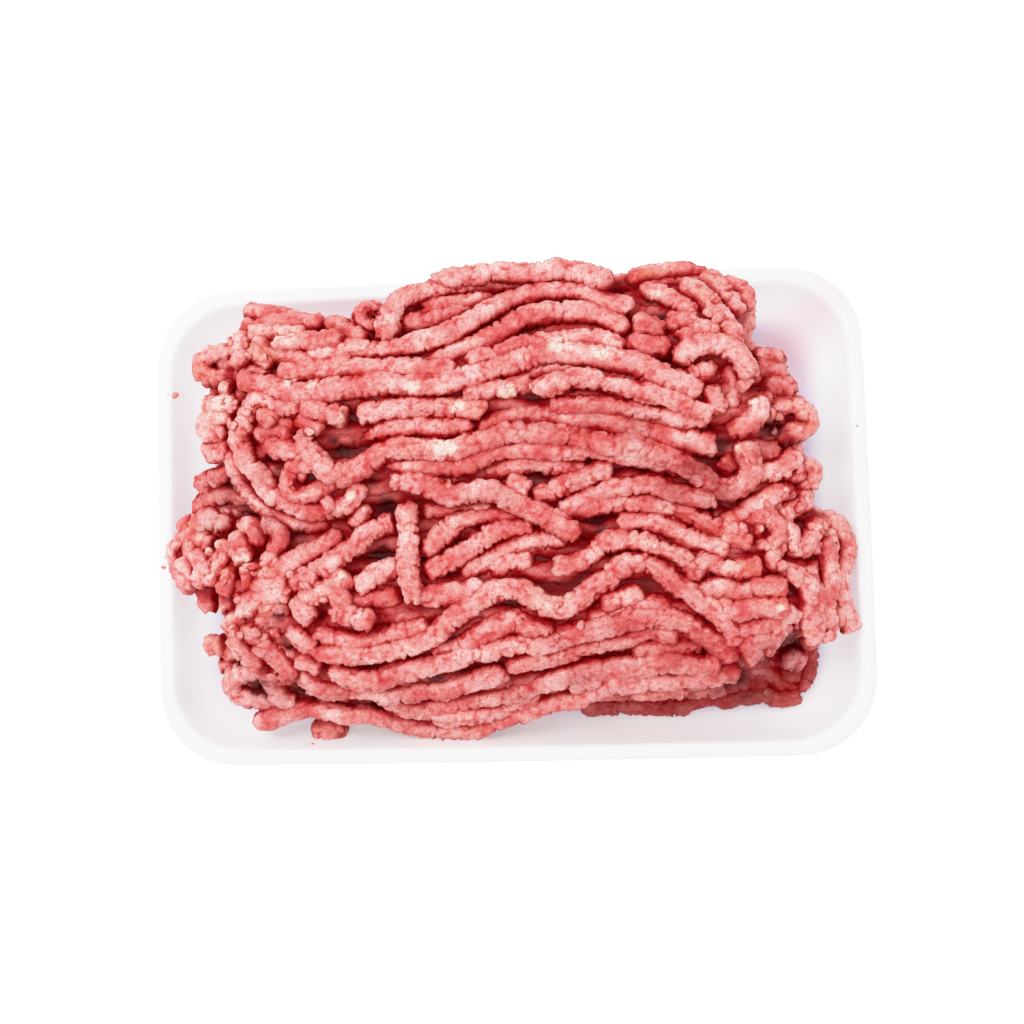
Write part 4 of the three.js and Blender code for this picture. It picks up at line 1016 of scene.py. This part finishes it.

# Marks of colour: lumps of white fat (lard), orange skin that has dried, raw red spots, painted shade on
# parts that lie in the shade of the strands above them (dim) and painted shadow, nearly black, in the gaps
# that stay open between the strands, each at its place as seen from above.
MARKS = {
    # x, y, reach, how strong
    "lard": (
        (-57, 38, 2.2, 1), (-14.5, 17.5, 4.2, 0.9), (4, 32, 4, 0.85), (-11, 29.5, 3, 0.8),
        (-22.5, 34, 3, 0.6), (72, 2, 1.8, 0.9), (72.5, -7, 1.8, 0.8), (60, -9.5, 2, 0.6),
        (63.5, -16.5, 2.6, 0.6), (75.5, -28.5, 1.8, 0.7), (70, 28, 2.4, 0.7), (-41.5, 27, 2, 0.9),
        (64.5, 15, 2.2, 0.7), (44.5, 59, 2.4, 0.5), (-73.5, -11.5, 2.6, 0.8), (-87, -3, 3, 0.6),
        (72.5, -52, 1.6, 0.8), (-45, -16, 2.6, 0.7), (-51.5, 37, 2.5, 0.5), (18, 45, 4, 0.6),
        (29, 42, 3, 0.6), (-42, 6, 2.2, 0.8), (-100, 40, 3, 0.7), (-103, -12, 3, 0.6), (45, -10, 14, 0.22),
        (90, -6, 9, 0.25), (-62, 50, 13, 0.25), (-80, 34, 10, 0.28), (-46, 24, 8, 0.2), (-82, -3, 9, 0.25),
        (57, 63, 9, 0.25), (12, -24, 10, 0.2),
    ),
    "orange": (
        (43.5, 66, 5, 0.5), (57, 57, 5, 0.3), (62, 47.5, 5, 0.3), (-65, 30.5, 3, 0.5), (-72, 25, 4, 0.3),
        (-66, 46, 4, 0.4), (-62, 44, 3, 0.4), (-85, 43, 5, 0.5), (-5.5, 27, 4, 0.35), (80, 25, 4, 0.4),
        (85, 21.5, 4, 0.5), (64.5, 20, 3, 0.3), (62.5, -9.5, 4, 0.3), (66, -17, 4, 0.35), (73, -26, 5, 0.3),
        (59, -26, 4, 0.35), (-75, -30, 4, 0.35), (-67.5, -26.5, 4, 0.35), (-65, -14, 4, 0.25),
        (-78, -14, 4, 0.3), (-64, -48.5, 4, 0.4), (-82, -35, 7, 0.5), (-54.5, -61.5, 4, 0.3),
        (-40, 50.5, 4, 0.25), (-103, -12, 3, 0.7), (-92, -0.5, 3, 0.7),
    ),
    "raw": (
        (26, 8, 1.2, 0.8), (17.5, 4.5, 1, 0.8), (14.5, 1.5, 1, 0.8), (5.5, -31.5, 1.2, 0.7),
        (44, -26.5, 1.2, 0.7), (-65, 9, 1.6, 0.6), (-34.5, 57, 1.1, 0.9), (-64, 31, 1.2, 0.7),
        (84, 8.5, 1.3, 0.8), (-75, -28, 1.6, 0.5), (52, 26, 1, 0.7), (81, -24, 1.4, 0.6),
    ),
    "dim": (
        (-79, 9, 10, 0.57), (-82, 1, 9, 0.37), (-66, -1, 7, 0.66), (-57, -4, 7, 0.66), (-48, -2, 6, 0.57),
        (-70, 43, 5, 0.25), (-64, 24, 6, 0.25), (-66, 11, 5, 0.33), (76, -42, 13, 0.61),
        (66, -52, 13, 0.45), (46, -55, 13, 0.41), (30, -56, 10, 0.37), (76, 20, 6, 0.49), (74, 36, 7, 0.37),
        (64, 30, 5, 0.29), (55, 9, 9, 0.41), (42, 11, 9, 0.33), (62, 10, 7, 0.41), (70, 13, 4, 0.25),
        (25, 10, 9, 0.2), (60, 4, 9, 0.7), (48, 5.5, 9, 0.6), (0, 4, 9, 0.16), (-14, 10, 9, 0.16),
        (-70, -46, 6, 0.41), (-60, -46, 5, 0.41), (-66, -30, 4, 0.33), (-52, -50, 8, 0.33),
        (-76, -24, 4, 0.33), (68, -13, 4, 0.25), (78, -32, 4, 0.33), (44, 49, 6, 0.25), (80, -46, 7, 0.7),
        (70, -53, 12, 0.5), (16, -42, 15, 0.3), (34, -38, 17, 0.36), (50, -40, 15, 0.42),
        (67, -51, 15, 0.65), (80, -46, 11, 0.55), (20, -46, 12, 0.45), (38, 22, 11, 0.5),
        (25, 24, 10, 0.35), (54, 10, 10, 0.75), (-72, -36, 15, 0.28), (-68, -50, 13, 0.45),
        (-30, -53, 15, 0.25), (0, -51, 15, 0.3), (52, -20, 12, 0.2), (6, 26, 12, 0.2), (12, 25, 10, 0.3),
    ),
    "gap": (
        (-42, 18, 3.9, 1), (-45, 21, 2.4, 1), (-40, 29, 3.2, 0.8), (-64, 17, 2.2, 1), (-61, 13, 3, 1),
        (-52, 11, 1.8, 1), (-75, 10, 4.5, 1), (-79, 6, 8, 0.75), (-71, 3, 7, 1), (-51, 5, 2.6, 0.9),
        (-66, 1, 3.6, 1), (-57, -4.5, 5.5, 1), (-50, -1, 2.6, 1), (-35, 9, 3, 0.9), (-33, -11, 4.6, 1),
        (-32, 3, 4, 1), (-16, 20, 3, 0.8), (-22, 42, 3, 0.7), (-42, 49, 2.4, 0.8), (-79, 45, 2.6, 0.8),
        (-79, 28, 2.8, 0.8), (-62, 42, 2.4, 0.7), (10, 48, 5, 0.9), (2, 27.5, 3.5, 1), (11, 8.5, 5, 1),
        (47, 51, 4.5, 1), (46, 39, 3, 1), (11, 29, 2.6, 0.9), (61, 16, 3.4, 1), (74, 20, 4.5, 1),
        (40, 11, 3.5, 1), (46, 9, 3, 1), (53, 7, 3, 1), (60, 4.5, 3, 1), (65, 3, 2.6, 0.9), (56, 0, 3.4, 1),
        (14, 6, 3, 0.8), (26, -3, 4, 1), (28, -7, 3.4, 1), (82, -6, 2.6, 1), (25, 13, 2, 0.8),
        (-10, -9, 4, 1), (-20, -13, 3, 0.9), (-8, -20, 4.5, 1), (3, -25, 3, 0.7), (-15, -34, 2.6, 0.9),
        (-32, -41, 2.6, 1), (-20, -46, 3, 1), (-2, -43, 2, 1), (7, -40, 3, 0.9), (-56, -49, 4.5, 1),
        (-50, -51, 3, 1), (-38, -54, 3.6, 1), (-24, -57, 3, 0.9), (-60, -35, 3.2, 1), (-71, -48, 4.5, 1),
        (-76, -40, 2.4, 1), (-62, -26, 3.4, 0.9), (78, -38, 4.5, 0.9), (63.5, -47, 4.5, 1),
        (73, -15, 2.6, 1), (79.5, -23, 2.8, 1), (53.5, -39, 4.5, 1), (71, -40.5, 4, 1), (74, -37, 3.5, 1),
        (60, -46, 4, 1),
    ),
}

# How far each place is shut in by the strands round it: the share of meat in a small box ahead of it. Meat
# that lies deep or near its neighbours is given painted shade, darker and redder, where less light would
# reach it.
filled[:, :, :8] = 1
shares = []
for width in (1, 2):
    share = filled
    for _ in range(2):
        for axis in range(3):
            share = sum(np.roll(share, k, axis) for k in range(-width, width + 1)) / (2 * width + 1)
    shares.append(share)
SMALL_MARK = 5
AHEAD = (2.2, 4.2)
MIDDLE_PAINTED_SHADE = 0.9
for name, points, normal, quads, caps, fat_and_sheen, pit_and_crease_shade in pieces:
    painted_crevice_shade = 0
    for share, ahead in zip(shares, AHEAD):
        cell = np.clip((points + normal * ahead - low).astype(int), 0, np.array(shape) - 1)
        painted_crevice_shade = painted_crevice_shade + share[tuple(cell.T)] / 2
    # Painted shade from how shut in each place is: a wide soft part (near) and a deep crimson part.
    near = np.clip((painted_crevice_shade - 0.03) / 0.28, 0, 1)
    painted_crevice_shade = np.clip((painted_crevice_shade - 0.14) / 0.48, 0, 1)
    # The inner strands and the dense middle get deeper painted shade still.
    if name == "inner_strands":
        painted_crevice_shade = 0.5 + 0.5 * painted_crevice_shade
    if name == "dense_middle":
        painted_crevice_shade = np.full(len(points), MIDDLE_PAINTED_SHADE)
    mesh = bpy.data.meshes.new(name)
    mesh.from_pydata((points / 1000).tolist(), [], quads.tolist() + caps)
    mesh.shade_smooth()
    # Painted shade: darker the lower the meat lies, and more so under the heap's overhang at the front right.
    under_lip = np.clip(points[:, 0] / 30, 0, 1) * np.clip((-34 - points[:, 1]) / 8, 0, 1)
    shade = np.clip((20 - points[:, 2]) / 14, 0, 1) * (1 + 0.9 * under_lip)
    over = skin(points[:, 0], points[:, 1])[:, None]
    seen = points + (APEX - points) * ((over - points[:, 2:]) / (APEX[2] - points[:, 2:]))
    ragged = 0.7 * (lumps(points / 1.5, 71) - 0.5)
    values_of = {"fat_and_sheen": fat_and_sheen, "pit_and_crease_shade": pit_and_crease_shade, "painted_crevice_shade": painted_crevice_shade, "shade": shade, "near": near}
    for label, places in MARKS.items():
        values = np.zeros(len(points))
        for x, y, reach, strength in places:
            away = np.hypot(seen[:, 0] - x, (seen[:, 1] - y) * 1.25) / reach + ragged
            edge = 2 if reach < SMALL_MARK and label in ("lard", "raw", "gap") else 1.2
            values = np.maximum(values, strength * np.clip(edge - edge * away, 0, 1))
        values_of[label] = values
    # The painted gap shadow falls only on meat that lies more than 2 mm below the skin.
    values_of["gap"] *= np.clip((over[:, 0] - points[:, 2] - 2) / 2, 0, 1)
    for label, values in values_of.items():
        give(mesh, label, values)
    mesh.materials.append(meat)
    piece = bpy.data.objects.new(name, mesh)
    bpy.context.scene.collection.objects.link(piece)
    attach(piece, "root")
    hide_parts("mince")
